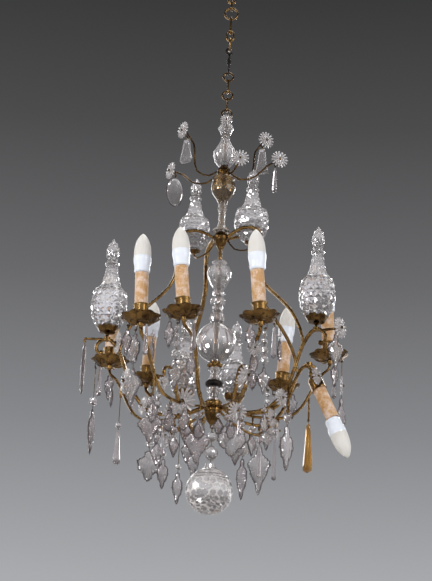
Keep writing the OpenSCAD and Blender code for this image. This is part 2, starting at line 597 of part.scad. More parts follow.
// Drops that swing, by plan angle, distance and height of the pin that each turns on

reach_drops = [[-92, spire_reach + 40, shoulder_z - 5], [62, spire_reach + 38, shoulder_z - 5]];
centre_kite_r = 92;
centre_kite_z = -902;
right_leaf_z = -892;
arm_drops = [[-141.7, candle_reach - 22, -884], [-39.5, candle_reach - 40, -891], [21, 96, -902],
  [142, candle_reach - 62, -893], [86, candle_reach - 36, -888]];
pan_drops = [[-48.5, candle_reach - 18, pan_z - 12], [-110, candle_reach + 28, pan_z - 13], [86,
    candle_reach + 22, pan_z - 13]];
module crown_left_plate() color(clear) at(crown_pins[0][0], crown_pins[0][1], crown_pins[0][2]) {
  eye(5);
  plate(kite(34, 50, 0.4, 3, 0.12), 50, -5);
}
module crown_left_oval() color(clear) at(crown_pins[1][0], crown_pins[1][1], crown_pins[1][2]) {
  eye(5);
  plate(oval(37, 60), 60, -5);
}
module crown_right_plate() color(clear) at(crown_pins[2][0], crown_pins[2][1], crown_pins[2][2]) {
  eye(5);
  plate(kite(30, 58, 0.45, 3, 0.12), 58, -5);
}
module crown_right_prism() color(violet) at(crown_pins[3][0], crown_pins[3][1], crown_pins[3][2]) {
  eye(5);
  prism(10, 52, -5);
}
module left_leaf() color(violet) at(reach_drops[0][0], reach_drops[0][1], reach_drops[0][2]) {
  eye(6);
  plate(leaf(28, 96, 6, 0.14), 96, -6);
}
module left_outer_leaf() color(violet) at(pan_drops[1][0], pan_drops[1][1], pan_drops[1][2]) {
  eye(58);
  bead(16, -58);
  wire(-74, -80);
  plate(leaf(36, 88, 5, 0.16), 88, -80);
}
module front_left_plaque() color(clear) at(pan_drops[0][0], pan_drops[0][1], pan_drops[0][2]) {
  eye(6);
  plate(oval(34, 58), 58, -6);
  wire(-64, -68);
  plate(kite(60, 74, 0.42, 4, 0.14), 74, -68);
}
module rear_left_leaf() color(clear) at(arm_drops[0][0], arm_drops[0][1], arm_drops[0][2]) {
  eye(6);
  bead(15, -6);
  wire(-21, -26);
  plate(leaf(50, 62, 4, 0.14), 62, -26);
}
module front_left_kite() color(violet) at(arm_drops[1][0], arm_drops[1][1], arm_drops[1][2]) {
  eye(6);
  bead(14, -6);
  wire(-20, -25);
  plate(kite(54, 66, 0.4, 4, 0.12), 66, -25);
}
module centre_left_kite() color(violet) at(front_angle, centre_kite_r, centre_kite_z) {
  eye(6);
  bead(14, -6);
  wire(-20, -25);
  plate(kite(54, 76, 0.38, 4, 0.12), 76, -25);
}
module front_shield() color(clear) at(arm_drops[2][0], arm_drops[2][1], arm_drops[2][2]) {
  eye(6);
  bead(15, -6);
  wire(-21, -25);
  plate(leaf(58, 60, 5, 0.12), 60, -25);
}
module rear_right_spear() color(clear) at(arm_drops[3][0], arm_drops[3][1], arm_drops[3][2]) {
  eye(5);
  plate(kite(52, 98, 0.36, 5, 0.12), 98, -5);
}
module front_right_leaf() color(violet) at(62, 148, right_leaf_z) {
  eye(6);
  bead(14, -6);
  wire(-20, -25);
  plate(leaf(32, 84, 5, 0.16), 84, -25);
}
module amber_prism() color([0.75, 0.5, 0.22, 0.7]) at(arm_drops[4][0], arm_drops[4][1], arm_drops[4][2]) {
  eye(6);
  prism(18, 92, -6, 6, 1);
}
module right_leaf() color(violet) at(pan_drops[2][0], pan_drops[2][1], pan_drops[2][2]) {
  eye(30);
  flower(16, -46, 12);
  wire(-62, -67);
  plate(leaf(26, 100, 6, 0.14), 100, -67);
}
module right_spear() color(clear) at(reach_drops[1][0], reach_drops[1][1], reach_drops[1][2]) {
  eye(4);
  plate(kite(38, 74, 0.4, 3, 0.1), 74, -4);
}

// Bottom ball and its two beads, on a wire from the cap's ring

ball_pin = cone_z - 6;
module ball_beads() color(clear) translate([0, 0, ball_pin]) {
  translate([0, 0, -0.3]) turned() rotate([90, 0, 0]) rotate_extrude($fn = 24) translate([2.6, 0])
      circle(r = 1, $fn = 16);
  translate([0, 0, -7]) cylinder(h = 4, r = 1, $fn = 16);
  bead(18, -7 - seat);
  wire(-25 - seat, -33);
  bead(26, -33);
  wire(-59 - seat, -ball_drop);
}
ball_drop = 66;
ball_top = ball_pin - ball_drop;
module bottom_ball() color(clear) translate([0, 0, ball_top - 8 - bottom_ball_r]) {
  sphere(r = bottom_ball_r, $fn = 64);
  cylinder(h = bottom_ball_r + 8, r = 7);
}

// Small drops that hang still: prisms and leaves on the pans, and a ring of beads and leaves by the
// bottom hub

pan_side = 5.8;
pan_out = candle_reach + 10;
pan_pin_z = pan_z - 14.5;
candle_angles = [-39.5, -16, 21, 86, 142, -141.7, -110];
ring_r = 72;
ring_pin_z = -897;
strand_list = [for (a = [-16 - 5, 21 + 5, 142 + 5, -141.7 - 5]) [a, candle_reach - 18]];
// Still drops under the arms and brackets: plan angle, distance, wire above the bead, kind, width, height
arm_violet = [[-141.7, 141, 30, "leaf", 26, 60], [-110, 104, 20, "kite", 30, 44],
  [-110, candle_reach - 26, 50, "prism", 15, 66], [142, 94, 30, "leaf", 24, 80]];
bracket_violet = [[118, 99, 14, "prism", 8, 62], [118, 131, 5, "prism", 10, 84]];
arm_clear = [[-141.7, 94, 62, "leaf", 24, 62], [86, 54, 5, "prism", 18, 50]];
bracket_clear = [[-162, 104, 14, "leaf", 26, 54]];
// A hook hangs lower where its strap climbs
function still_rise(path, r) = 7 + abs(climb(path, r + 2) - climb(path, r - 2));
module still_drop(s, path) at(s[0], s[1], climb(path, s[1]) - still_rise(path, s[1])) {
  eye(s[2]);
  bead(12, -s[2]);
  wire(-s[2] - 12, -s[2] - 15);
  if (s[3] == "leaf") small_plate(leaf(s[4], s[5], 5, 0.14), s[5], -s[2] - 15);
  if (s[3] == "kite") small_plate(kite(s[4], s[5], 0.42, 4, 0.12), s[5], -s[2] - 15);
  if (s[3] == "prism") prism(s[4], s[5], -s[2] - 15);
}
module still_hooks(list, path) {
  for (s = list) at(s[0], s[1], climb(path, s[1]) - still_rise(path, s[1])) hook(still_rise(path, s[1]));
}
module small_drops() color(violet) {
  for (s = arm_violet) still_drop(s, arm_path);
  for (s = bracket_violet) still_drop(s, bracket_path);
  for (a = candle_angles) {
    at(a + pan_side, pan_out, pan_pin_z) {
      eye(5);
      prism(11, 58, -5);
    }
    at(a - pan_side, pan_out, pan_pin_z) {
      eye(5);
      small_plate(leaf(22, 52, 4, 0.14), 52, -5);
    }
  }
  for (a = arm_angles) at(a, ring_r, ring_pin_z) {
    eye(4);
    bead(13, -4);
    wire(-17, -21);
    small_plate(kite(24, 40, 0.4, 3, 0.1), 40, -21);
  }
}
module bead_strands() color(clear) {
  for (s = arm_clear) still_drop(s, arm_path);
  for (s = bracket_clear) still_drop(s, bracket_path);
  for (s = strand_list) at(s[0], s[1], pan_pin_z) {
    eye(4);
    bead(10, -4);
    wire(-14, -17);
    bead(12, -17);
    wire(-29, -32);
    bead(14, -32);
    wire(-46, -49);
    bead(16, -49);
    wire(-65, -69);
    small_plate(kite(30, 52, 0.42, 3, 0.12), 52, -69);
  }
}

hanging_ring();
link_1();
link_2();
link_3();
link_4();
link_5();
iron_hook();
link_6();
link_7();
link_8();
link_9();
crown_ring();
centre_rod();
crown_glass();
crown_hub();
crown_arms();
cage_hub();
column_glass();
large_ball();
ball_collar();
lower_spool();
bottom_hub();
hub_cone();
inner_spire_left();
inner_spire_right();
spire_left();
spire_right();
rear_spire_left();
rear_spire_right();
spire_cups();
cage_ribs();
brackets();
candle_arms();
drip_pans();
candle_cups();
candle_sleeves();
lampholders();
bulb_collars();
bulbs();
rosettes();
small_drops();
bead_strands();
ball_beads();
bottom_ball();
crown_left_plate();
crown_left_oval();
crown_right_plate();
crown_right_prism();
left_leaf();
left_outer_leaf();
front_left_plaque();
rear_left_leaf();
front_left_kite();
centre_left_kite();
front_shield();
rear_right_spear();
front_right_leaf();
amber_prism();
right_leaf();
right_spear();
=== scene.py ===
import json
import math
import random

import bmesh
import bpy
from mathutils import Matrix, Vector


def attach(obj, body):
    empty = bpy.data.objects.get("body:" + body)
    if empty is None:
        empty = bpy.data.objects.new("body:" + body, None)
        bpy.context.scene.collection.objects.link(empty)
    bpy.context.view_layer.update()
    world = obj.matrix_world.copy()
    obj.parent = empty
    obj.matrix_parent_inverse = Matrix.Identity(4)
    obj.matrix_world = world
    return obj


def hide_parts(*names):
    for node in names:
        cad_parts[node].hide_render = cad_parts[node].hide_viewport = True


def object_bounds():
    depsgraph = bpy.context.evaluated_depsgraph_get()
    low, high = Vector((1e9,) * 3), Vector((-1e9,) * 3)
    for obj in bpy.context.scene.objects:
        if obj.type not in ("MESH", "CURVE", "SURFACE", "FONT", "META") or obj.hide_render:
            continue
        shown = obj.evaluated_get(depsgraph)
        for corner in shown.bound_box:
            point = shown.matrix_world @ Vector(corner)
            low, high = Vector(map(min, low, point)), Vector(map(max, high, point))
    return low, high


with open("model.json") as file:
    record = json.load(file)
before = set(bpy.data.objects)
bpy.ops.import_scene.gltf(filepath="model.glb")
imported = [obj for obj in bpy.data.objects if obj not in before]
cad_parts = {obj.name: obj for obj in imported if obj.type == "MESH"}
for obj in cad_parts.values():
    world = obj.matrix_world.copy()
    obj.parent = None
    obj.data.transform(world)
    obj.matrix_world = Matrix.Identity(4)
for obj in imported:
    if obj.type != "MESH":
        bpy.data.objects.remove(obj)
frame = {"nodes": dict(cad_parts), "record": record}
cad_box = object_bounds()
nodes = frame["nodes"]
members_of = frame["record"]["behaviour"]["bodies"]
body_of = {node: body for body, members in members_of.items() for node in members}
slot_of = {row["node"]: row["material_slot"] for row in frame["record"]["subparts"]}

MM = 0.001
RIGHT = Vector((1, 0, 0))
BACK = Vector((0, 1, 0))
UP = Vector((0, 0, 1))


# The camera stands below the chandelier and looks up at it, rolled a little, as the photograph was taken

IMAGE_HEIGHT = 581
FOCAL_PIXELS = 1729.7
SENSOR_HEIGHT = 24
NEAREST_SEEN = 0.05
CAMERA_RISE = math.radians(22)
CAMERA_ROLL = math.radians(2.7)
CAMERA_DISTANCE = 3.2
CAMERA_TARGET = Vector((-0.0046, 0, -0.641))


def place_camera():
    """The photograph's camera, with its focal length written for an image of the photograph's height."""
    data = bpy.data.cameras.new("camera")
    camera = bpy.data.objects.new("camera", data)
    bpy.context.scene.collection.objects.link(camera)
    forward = Vector((0, math.cos(CAMERA_RISE), math.sin(CAMERA_RISE)))
    up = RIGHT.cross(forward)
    rolled_right = math.cos(CAMERA_ROLL) * RIGHT + math.sin(CAMERA_ROLL) * up
    rolled_up = math.cos(CAMERA_ROLL) * up - math.sin(CAMERA_ROLL) * RIGHT
    turn = Matrix((rolled_right, rolled_up, -forward)).transposed().to_4x4()
    camera.matrix_world = Matrix.Translation(CAMERA_TARGET - CAMERA_DISTANCE * forward) @ turn
    data.sensor_fit = "VERTICAL"
    data.sensor_height = SENSOR_HEIGHT
    data.lens = FOCAL_PIXELS / IMAGE_HEIGHT * SENSOR_HEIGHT
    data.clip_start = NEAREST_SEEN
    bpy.context.scene.camera = camera


# Colours and nodes

def linear(code):
    """An sRGB hex colour as linear red, green, blue and alpha."""
    channels = [int(code[i:i + 2], 16) / 255 for i in (1, 3, 5)]
    return tuple(c / 12.92 if c <= 0.04045 else ((c + 0.055) / 1.055) ** 2.4 for c in channels) + (1,)


def open_socket(sockets, key):
    """A node's socket by its number, or the first one in use that has that name."""
    if isinstance(key, int):
        return sockets[key]
    return next(socket for socket in sockets if socket.name == key and socket.enabled)


def feed(node, inputs):
    """Gives a node's inputs numbers, colours as hex codes, or what other nodes put out first."""
    for key, value in inputs.items():
        socket = open_socket(node.inputs, key)
        if isinstance(value, bpy.types.Node):
            value = next(output for output in value.outputs if output.enabled)
        if isinstance(value, bpy.types.NodeSocket):
            node.id_data.links.new(value, socket)
        else:
            socket.default_value = linear(value) if isinstance(value, str) else value


def add(tree, kind, inputs=None, **settings):
    """Adds a node with its settings, and feeds its inputs."""
    node = tree.nodes.new(kind)
    for name, value in settings.items():
        setattr(node, name, value)
    feed(node, inputs or {})
    return node


def start_material(name):
    """A material with its shader, and the object's own coordinates in metres."""
    made = bpy.data.materials.new(name)
    made.use_nodes = True
    tree = made.node_tree
    shader = tree.nodes["Principled BSDF"]
    place = add(tree, "ShaderNodeTexCoord").outputs["Object"]
    return made, tree, shader, place


def patches(tree, place, size, low, high, detail=2, roughness=0.5):
    """Cloudy patches of about that size: 0 where their noise is under low, and 1 where it is over high."""
    inputs = {"Vector": place, "Scale": 1 / size, "Detail": detail, "Roughness": roughness}
    noise = add(tree, "ShaderNodeTexNoise", inputs)
    return add(tree, "ShaderNodeMapRange", {"Value": noise, "From Min": low, "From Max": high})


def waves(tree, place, size, depth, detail=2):
    """An uneven surface, which rises and falls by depth in waves of about that size."""
    noise = add(tree, "ShaderNodeTexNoise", {"Vector": place, "Scale": 1 / size, "Detail": detail})
    return add(tree, "ShaderNodeBump", {"Height": noise, "Distance": depth})


# Materials

BRASS_ROUGHNESS = 0.24
DIRT_ROUGHNESS = 0.54
GLASS_IOR = 1.56

# Between these heights, in metres, the bowl's clear foot turns to smoky glass
SMOKY_FROM = -0.47
SMOKY_TO = -0.462


def aged_brass(name, bright, dull, grime):
    """Cast brass, once gilded: it shines warm in worn patches, and is dull brown where dirt has settled."""
    made, tree, shader, place = start_material(name)
    worn = patches(tree, place, 20 * MM, 0.3, 0.7)
    metal = add(tree, "ShaderNodeMix", {"Factor": worn, "A": dull, "B": bright}, data_type="RGBA")
    dirt = patches(tree, place, 8 * MM, 0.54, 0.74, detail=4, roughness=0.55)
    colour = add(tree, "ShaderNodeMix", {"Factor": dirt, "A": metal, "B": grime}, data_type="RGBA")
    inputs = {"Value": dirt, "To Min": BRASS_ROUGHNESS, "To Max": DIRT_ROUGHNESS}
    dulled = add(tree, "ShaderNodeMapRange", inputs)
    feed(shader, {"Base Color": colour, "Roughness": dulled, "Metallic": 1.0,
                  "Normal": waves(tree, place, 7 * MM, 0.1 * MM, detail=3)})
    return made


def blackened_iron():
    """Forged iron, blackened by heat and wax: nearly black, with a dull sheen."""
    made, tree, shader, place = start_material("blackened_iron")
    rubbed = patches(tree, place, 6 * MM, 0.4, 0.65, detail=4)
    colour = add(tree, "ShaderNodeMix", {"Factor": rubbed, "A": "#1b191a", "B": "#3a322c"}, data_type="RGBA")
    feed(shader, {"Base Color": colour, "Roughness": 0.45, "Metallic": 0.8,
                  "Normal": waves(tree, place, 2 * MM, 0.2 * MM, detail=4)})
    return made


def cut_glass(name, tint, clouded, haze, roughness=0.02, ripple=0.12 * MM):
    """Old lead glass, cut and polished by hand: clear, a little hazed, with faint ripples in its faces."""
    made, tree, shader, place = start_material(name)
    clouds = patches(tree, place, 22 * MM, 0.35, 0.7)
    colour = add(tree, "ShaderNodeMix", {"Factor": clouds, "A": tint, "B": clouded}, data_type="RGBA")
    feed(shader, {"Base Color": colour, "Roughness": roughness, "IOR": GLASS_IOR,
                  "Transmission Weight": 1 - haze, "Normal": waves(tree, place, 6 * MM, ripple)})
    return made


def smoky_bowl_glass():
    """The blown bowl under the crown: brown as smoke, with gold flecks, above a clear foot."""
    made = cut_glass("smoky_bowl_glass", "#e8e2dc", "#d9cfc4", haze=0.14, roughness=0.05, ripple=0.5 * MM)
    tree = made.node_tree
    shader = tree.nodes["Principled BSDF"]
    clear = shader.inputs["Base Color"].links[0].from_socket
    place = add(tree, "ShaderNodeTexCoord").outputs["Object"]
    height = add(tree, "ShaderNodeSeparateXYZ", {"Vector": place}).outputs["Z"]
    in_bowl = add(tree, "ShaderNodeMapRange", {"Value": height, "From Min": SMOKY_FROM, "From Max": SMOKY_TO})
    flecks = patches(tree, place, 4 * MM, 0.55, 0.62, detail=4, roughness=0.6)
    smoke = add(tree, "ShaderNodeMix", {"Factor": flecks, "A": "#8a7358", "B": "#c9a25c"}, data_type="RGBA")
    colour = add(tree, "ShaderNodeMix", {"Factor": in_bowl, "A": clear, "B": smoke}, data_type="RGBA")
    feed(shader, {"Base Color": colour})
    return made


def waxed_candle_card():
    """Candle card: cream card tubes brushed with wax, which has yellowed and crazed."""
    made, tree, shader, place = start_material("waxed_candle_card")
    stained = patches(tree, place, 26 * MM, 0.35, 0.65, detail=3)
    cream = add(tree, "ShaderNodeMix", {"Factor": stained, "A": "#c2935c", "B": "#cfab84"}, data_type="RGBA")
    thick = patches(tree, place, 13 * MM, 0.47, 0.6, detail=5, roughness=0.65)
    waxed = add(tree, "ShaderNodeMix", {"Factor": thick, "A": cream, "B": "#dfc6b4"}, data_type="RGBA")
    cells = {"Vector": place, "Scale": 1 / (4.5 * MM)}
    cracks = add(tree, "ShaderNodeTexVoronoi", cells, feature="DISTANCE_TO_EDGE")
    near_crack = {"Value": cracks, "From Max": 0.06, "To Min": 0.55, "To Max": 0.0}
    lines = add(tree, "ShaderNodeMapRange", near_crack)
    colour = add(tree, "ShaderNodeMix", {"Factor": lines, "A": waxed, "B": "#9a6a3c"}, data_type="RGBA")
    edges = add(tree, "ShaderNodeMapRange", {"Value": cracks, "From Max": 0.12})
    feed(shader, {"Base Color": colour, "Roughness": 0.5, "Subsurface Weight": 0.1,
                  "Subsurface Radius": (0.004, 0.002, 0.001),
                  "Normal": add(tree, "ShaderNodeBump", {"Height": edges, "Distance": 0.25 * MM})})
    return made


def moulded_white_plastic():
    """Moulded white plastic: smooth and glossy, so the lamps show in it."""
    made, tree, shader, place = start_material("moulded_white_plastic")
    tone = patches(tree, place, 30 * MM, 0.3, 0.7)
    colour = add(tree, "ShaderNodeMix", {"Factor": tone, "A": "#dfe4ee", "B": "#e8ecf4"}, data_type="RGBA")
    feed(shader, {"Base Color": colour, "Roughness": 0.16, "Coat Weight": 0.3,
                  "Normal": waves(tree, place, 9 * MM, 0.02 * MM)})
    return made


def frosted_bulb():
    """Blown glass frosted inside: milk white with a soft, matt surface."""
    made, tree, shader, place = start_material("frosted_bulb")
    tone = patches(tree, place, 24 * MM, 0.3, 0.7)
    colour = add(tree, "ShaderNodeMix", {"Factor": tone, "A": "#d3cfc9", "B": "#dbd8d3"}, data_type="RGBA")
    feed(shader, {"Base Color": colour, "Roughness": 0.42, "Subsurface Weight": 0.25,
                  "Subsurface Radius": (0.006, 0.005, 0.004),
                  "Normal": waves(tree, place, 1.2 * MM, 0.02 * MM)})
    return made


gilt = aged_brass("antique_gilt_brass", bright="#a58350", dull="#6b4e2a", grime="#2c2016")
dark_brass = aged_brass("patinated_brass", bright="#7c5e36", dull="#47341e", grime="#1e170f")
iron = blackened_iron()

# The column and spires are clear, and daisies, cut all over, look whiter. The sun has tinged the drops
# violet, and amber is dyed in the melt. Ground edges are dull, and their dark grey is painted shade
# for the dark lines along the drops' edges. Worn ridges are white.
clear_glass = cut_glass("cut_lead_glass", "#f3f0f0", "#e4dedf", haze=0.11)
bright_glass = cut_glass("bright_cut_glass", "#f3f0f0", "#e6dfdf", haze=0.3, roughness=0.06)
violet_glass = cut_glass("sun_violet_glass", "#eae4e5", "#d9cfd1", haze=0.09)
# Painted shade: the ground edge's dark grey stands in for the dark lines along the drops' edges
shade_painted_edge_glass = cut_glass("ground_edge_painted_shade", "#6f6365", "#3d3234", haze=0.55, roughness=0.3, ripple=0.2 * MM)
smoky_glass = smoky_bowl_glass()
amber_glass = cut_glass("amber_glass", "#e0b063", "#b98438", haze=0.25)
worn_glass = cut_glass("worn_facet_edge", "#f2eeec", "#d8d0cc", haze=0.55, roughness=0.2, ripple=0.2 * MM)

card = waxed_candle_card()
white_plastic = moulded_white_plastic()
frosted = frosted_bulb()
material_of = {"gilt": gilt, "dark_brass": dark_brass, "iron": iron, "clear_glass": clear_glass,
               "violet_glass": violet_glass, "amber_glass": amber_glass, "card": card,
               "white_plastic": white_plastic, "frosted": frosted}


def dress_cad_nodes():
    """Every CAD node takes the material of its slot; pieces that stand for nodes hide them later."""
    for name, node in nodes.items():
        node.data.materials.clear()
        node.data.materials.append(material_of[slot_of[name]])


# Shapes taken from the CAD solids

MERGE = 0.01 * MM
ON_PLANE = 0.002 * MM


def solids(name):
    """The separate solids of a CAD node, each as a bmesh with its loose triangles joined."""
    source = bmesh.new()
    source.from_mesh(nodes[name].data)
    bmesh.ops.remove_doubles(source, verts=source.verts, dist=MERGE)
    source.verts.index_update()
    source.faces.index_update()
    found = []
    left = set(source.verts)
    while left:
        island = set()
        reached = [left.pop()]
        while reached:
            vert = reached.pop()
            island.add(vert)
            near = {e.other_vert(vert) for e in vert.link_edges} & left
            left -= near
            reached += near
        part = bmesh.new()
        copies = {v: part.verts.new(v.co) for v in sorted(island, key=lambda v: v.index)}
        for face in sorted({f for v in island for f in v.link_faces}, key=lambda f: f.index):
            part.faces.new([copies[v] for v in face.verts])
        found.append(part)
    source.free()
    found.sort(key=lambda part: [round(c, 5) for c in middle_of(part)])
    return found


def everything(bm):
    """All points, edges and faces of a bmesh, as its operators take them."""
    return bm.verts[:] + bm.edges[:] + bm.faces[:]


def span(part, direction):
    """The lowest and highest place of a part along a direction."""
    along = [v.co.dot(direction) for v in part.verts]
    return min(along), max(along)


def middle_of(part):
    """The middle of a part's box."""
    spans = [span(part, axis) for axis in (RIGHT, BACK, UP)]
    return Vector([(low + high) / 2 for low, high in spans])


def lie_of(part):
    """Where a hanging piece lies: a frame with X along its width and -Y outwards, and its three sizes."""
    mean = sum((v.co for v in part.verts), Vector()) / len(part.verts)
    xx = sum((v.co.x - mean.x) ** 2 for v in part.verts)
    yy = sum((v.co.y - mean.y) ** 2 for v in part.verts)
    xy = sum((v.co.x - mean.x) * (v.co.y - mean.y) for v in part.verts)
    angle = 0.5 * math.atan2(2 * xy, xx - yy)
    out = Vector((math.sin(angle), -math.cos(angle), 0))
    if out.dot(Vector((mean.x, mean.y, 0))) < 0:
        out = -out
    axes = ((-out).cross(UP), -out, UP)
    spans = [span(part, axis) for axis in axes]
    middle = sum((axis * (low + high) / 2 for axis, (low, high) in zip(axes, spans)), Vector())
    turn = Matrix(axes).transposed().to_4x4()
    return Matrix.Translation(middle) @ turn, [high - low for low, high in spans]


def join(target, part):
    """Moves a part's mesh into another."""
    mesh = bpy.data.meshes.new("part")
    part.to_mesh(mesh)
    part.free()
    target.from_mesh(mesh)
    bpy.data.meshes.remove(mesh)


def make_piece(name, bm, node, slot, smooth_under=None, material=None, edges=None, stands_for=True):
    """Ends a piece: its normals, shading and materials, and the body that it rides on.

    Faces that meet at less than smooth_under degrees are shaded smooth, and edges is the second material.
    A piece without faces is left out.
    """
    if not bm.faces:
        bm.free()
        return
    bmesh.ops.recalc_face_normals(bm, faces=bm.faces)
    mesh = bpy.data.meshes.new(name)
    bm.to_mesh(mesh)
    bm.free()
    mesh.materials.append(material or material_of[slot])
    if edges:
        mesh.materials.append(edges)
    mesh.polygons.foreach_set("use_smooth", [smooth_under is not None] * len(mesh.polygons))
    if smooth_under is not None:
        mesh.set_sharp_from_angle(angle=math.radians(smooth_under))
    piece = bpy.data.objects.new(name, mesh)
    bpy.context.scene.collection.objects.link(piece)
    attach(piece, body_of[node])
    if stands_for:
        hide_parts(node)


# Turned and tipped forms

def spun(profile, sides, turned_by=0.0):
    """Spins a half section, listed as distance from the axis and height, into a form of that many sides."""
    bm = bmesh.new()
    line = [bm.verts.new((r, 0, z)) for r, z in profile]
    for low, high in zip(line, line[1:]):
        bm.edges.new((low, high))
    bmesh.ops.spin(bm, geom=bm.verts[:] + bm.edges[:], cent=(0, 0, 0), axis=UP, angle=math.tau, steps=sides,
                   use_merge=True)
    bmesh.ops.remove_doubles(bm, verts=bm.verts, dist=MERGE)
    bmesh.ops.rotate(bm, verts=bm.verts, cent=(0, 0, 0), matrix=Matrix.Rotation(turned_by, 3, "Z"))
    bmesh.ops.recalc_face_normals(bm, faces=bm.faces)
    return bm


def tip(bm, degrees=90):
    """Tips a form until its top points to the front, or with -90 degrees to the back."""
    turn = Matrix.Rotation(math.radians(degrees), 3, "X")
    bmesh.ops.rotate(bm, verts=bm.verts, cent=(0, 0, 0), matrix=turn)


# Hanging plates: flat drops with a ground edge, bevels on both sides and a low point in the middle

# A bevel is the share to which the outline shrinks, and the share of the plate's rise that it takes
STEEP_BEVELS = ((0.88, 0.5), (0.62, 0.2))
OPEN_BEVELS = ((0.9, 0.55), (0.7, 0.15))
RIM = 0.9 * MM
GROUND_EDGE = 1.5 * MM
GROUND_RISE = 0.3
POINT_RISE = 0.35 * MM
PANEL_FLAT = 0.82
OUTLINE_MERGE = 0.05 * MM
STRAIGHT_UNDER = 0.03
NOTCH_PITCH = 4.2 * MM
NOTCH_DEPTH = 2.1 * MM
TURN_TO_FRONT = 0.6

# Where a notched drop is drawn in: level, reach and depth, in shares of its height and width
SHOULDERS = ((0.83, 0.1, 0.5), (0.2, 0.07, 0.3))

# Half outlines of the small plates, in shares of their width and height from the lower tip
HALF_OUTLINES = {"leaf": ((0, 0), (0.34, 0.14), (0.5, 0.42), (0.44, 0.62), (0.2, 0.8), (0.16, 0.94), (0, 1)),
                 "kite": ((0, 0), (0.26, 0.2), (0.5, 0.55), (0.3, 0.82), (0, 1))}
SMALL_PLATE_THIN = 4.5 * MM

# Outlines of the crown's two panels, in millimetres beside the middle line and below the top
PANELS = {"crown_left_plate": ((-6, 0), (6, 0), (14, 44), (9, 50), (-9, 50), (-14, 44)),
          "crown_right_plate": ((-6, 0), (6, 0), (12, 40), (16, 54), (-16, 54), (-12, 40))}


def closed_outline(points):
    """A closed line through points, each a distance from the middle line and a height."""
    part = bmesh.new()
    verts = [part.verts.new((x, 0, z)) for x, z in points]
    for one, other in zip(verts, verts[1:] + verts[:1]):
        part.edges.new((one, other))
    return part


def face_front(face):
    """Turns a face over if it looks to the back."""
    face.normal_update()
    if face.normal.y > 0:
        face.normal_flip()


def raise_face(bm, face, share, rise, middle):
    """Steps a face inwards: its outline is scaled by share about the middle and lifted by rise towards -Y."""
    bmesh.ops.inset_individual(bm, faces=[face], thickness=0, depth=0)
    space = Matrix.Translation(-middle)
    bmesh.ops.scale(bm, vec=(share, 1, share), space=space, verts=face.verts)
    bmesh.ops.translate(bm, vec=(0, -rise, 0), verts=face.verts)


def mirror_to_back(bm):
    """Makes the back of a form like its front."""
    bmesh.ops.mirror(bm, geom=everything(bm), merge_dist=MERGE, axis="Y")


def lies_straight(vert):
    """Whether a point of an outline lies on a straight stretch of it."""
    if len(vert.link_edges) != 2:
        return False
    before, after = [e.other_vert(vert).co for e in vert.link_edges]
    return (vert.co - before).angle(after - vert.co, 0) < STRAIGHT_UNDER


def notch(part, shoulders=()):
    """Draws an outline in at its shoulders and nibbles its edge, as the cutter's wheel leaves it."""
    for edge in part.edges[:]:
        cuts = int(edge.calc_length() / NOTCH_PITCH)
        if cuts:
            bmesh.ops.subdivide_edges(part, edges=[edge], cuts=cuts)
    low, high = span(part, UP)
    for vert in part.verts:
        up = (vert.co.z - low) / (high - low)
        drawn_in = sum(depth * math.exp(-((up - level) / reach) ** 2) for level, reach, depth in shoulders)
        vert.co.x *= 1 - drawn_in
    part.verts.ensure_lookup_table()
    middle = sum((v.co for v in part.verts), Vector()) / len(part.verts)
    vert, before = part.verts[0], None
    for count in range(len(part.verts)):
        if count % 2:
            vert.co += (middle - vert.co).normalized() * NOTCH_DEPTH
        after = next(e.other_vert(vert) for e in vert.link_edges if e.other_vert(vert) is not before)
        vert, before = after, vert


def outline_face(part, notched):
    """Cuts a plate's solid through its middle plane and leaves the cut as one face."""
    bmesh.ops.bisect_plane(part, geom=everything(part), dist=ON_PLANE, plane_co=(0, 0, 0), plane_no=BACK,
                           clear_inner=True, clear_outer=True)
    bmesh.ops.remove_doubles(part, verts=part.verts, dist=OUTLINE_MERGE)
    bmesh.ops.dissolve_verts(part, verts=[v for v in part.verts if lies_straight(v)])
    if notched:
        notch(part, SHOULDERS)
    made = bmesh.ops.edgeloop_fill(part, edges=part.edges[:])["faces"]
    return max(made, key=lambda f: f.calc_area())


def bevel_both_sides(part, face, thin, steps):
    """Raises a face in steps inside a ground edge, ends it in a low point, and mirrors it to the back."""
    face_front(face)
    middle = face.calc_center_bounds()
    rise = thin / 2 - RIM / 2
    raise_face(part, face, 1, RIM / 2, middle)
    bmesh.ops.inset_individual(part, faces=[face], thickness=GROUND_EDGE, use_even_offset=True)
    bmesh.ops.translate(part, vec=(0, -GROUND_RISE * rise, 0), verts=face.verts)
    # The ground edge takes the second material, whose dark grey is painted shade
    for ground in part.faces:
        ground.material_index = 0 if ground is face else 1
    for share, height in steps:
        raise_face(part, face, share, height * rise, middle)
    bmesh.ops.poke(part, faces=[face], offset=POINT_RISE, center_mode="MEAN")
    mirror_to_back(part)


def small_plate(kind, width, high):
    """A small leaf or kite with a nibbled edge."""
    side = HALF_OUTLINES[kind]
    points = list(side) + [(-across, up) for across, up in reversed(side[1:-1])]
    part = closed_outline([(across * width, (up - 0.5) * high) for across, up in points])
    notch(part)
    face = bmesh.ops.edgeloop_fill(part, edges=part.edges[:])["faces"][0]
    bevel_both_sides(part, face, SMALL_PLATE_THIN, OPEN_BEVELS)
    return part


def panel(outline, thin, high):
    """A panel with one wide bevel all round, from its own outline in millimetres below its top."""
    part = closed_outline([(x * MM, high / 2 - down * MM) for x, down in outline])
    face = bmesh.ops.edgeloop_fill(part, edges=part.edges[:])["faces"][0]
    face_front(face)
    middle = face.calc_center_bounds()
    raise_face(part, face, 1, RIM / 2, middle)
    raise_face(part, face, PANEL_FLAT, thin / 2 - RIM / 2, middle)
    mirror_to_back(part)
    return part


def turned_to_front(place):
    """A plate turns on its wire until it stands more nearly broadside to the front or the back."""
    out = -place.col[1].to_3d()
    angle = math.atan2(out.x, -out.y)
    nearest = 0 if abs(angle) < math.pi / 2 else math.copysign(math.pi, angle)
    return place @ Matrix.Rotation((nearest - angle) * TURN_TO_FRONT, 4, "Z")


# Beads, prisms and daisies

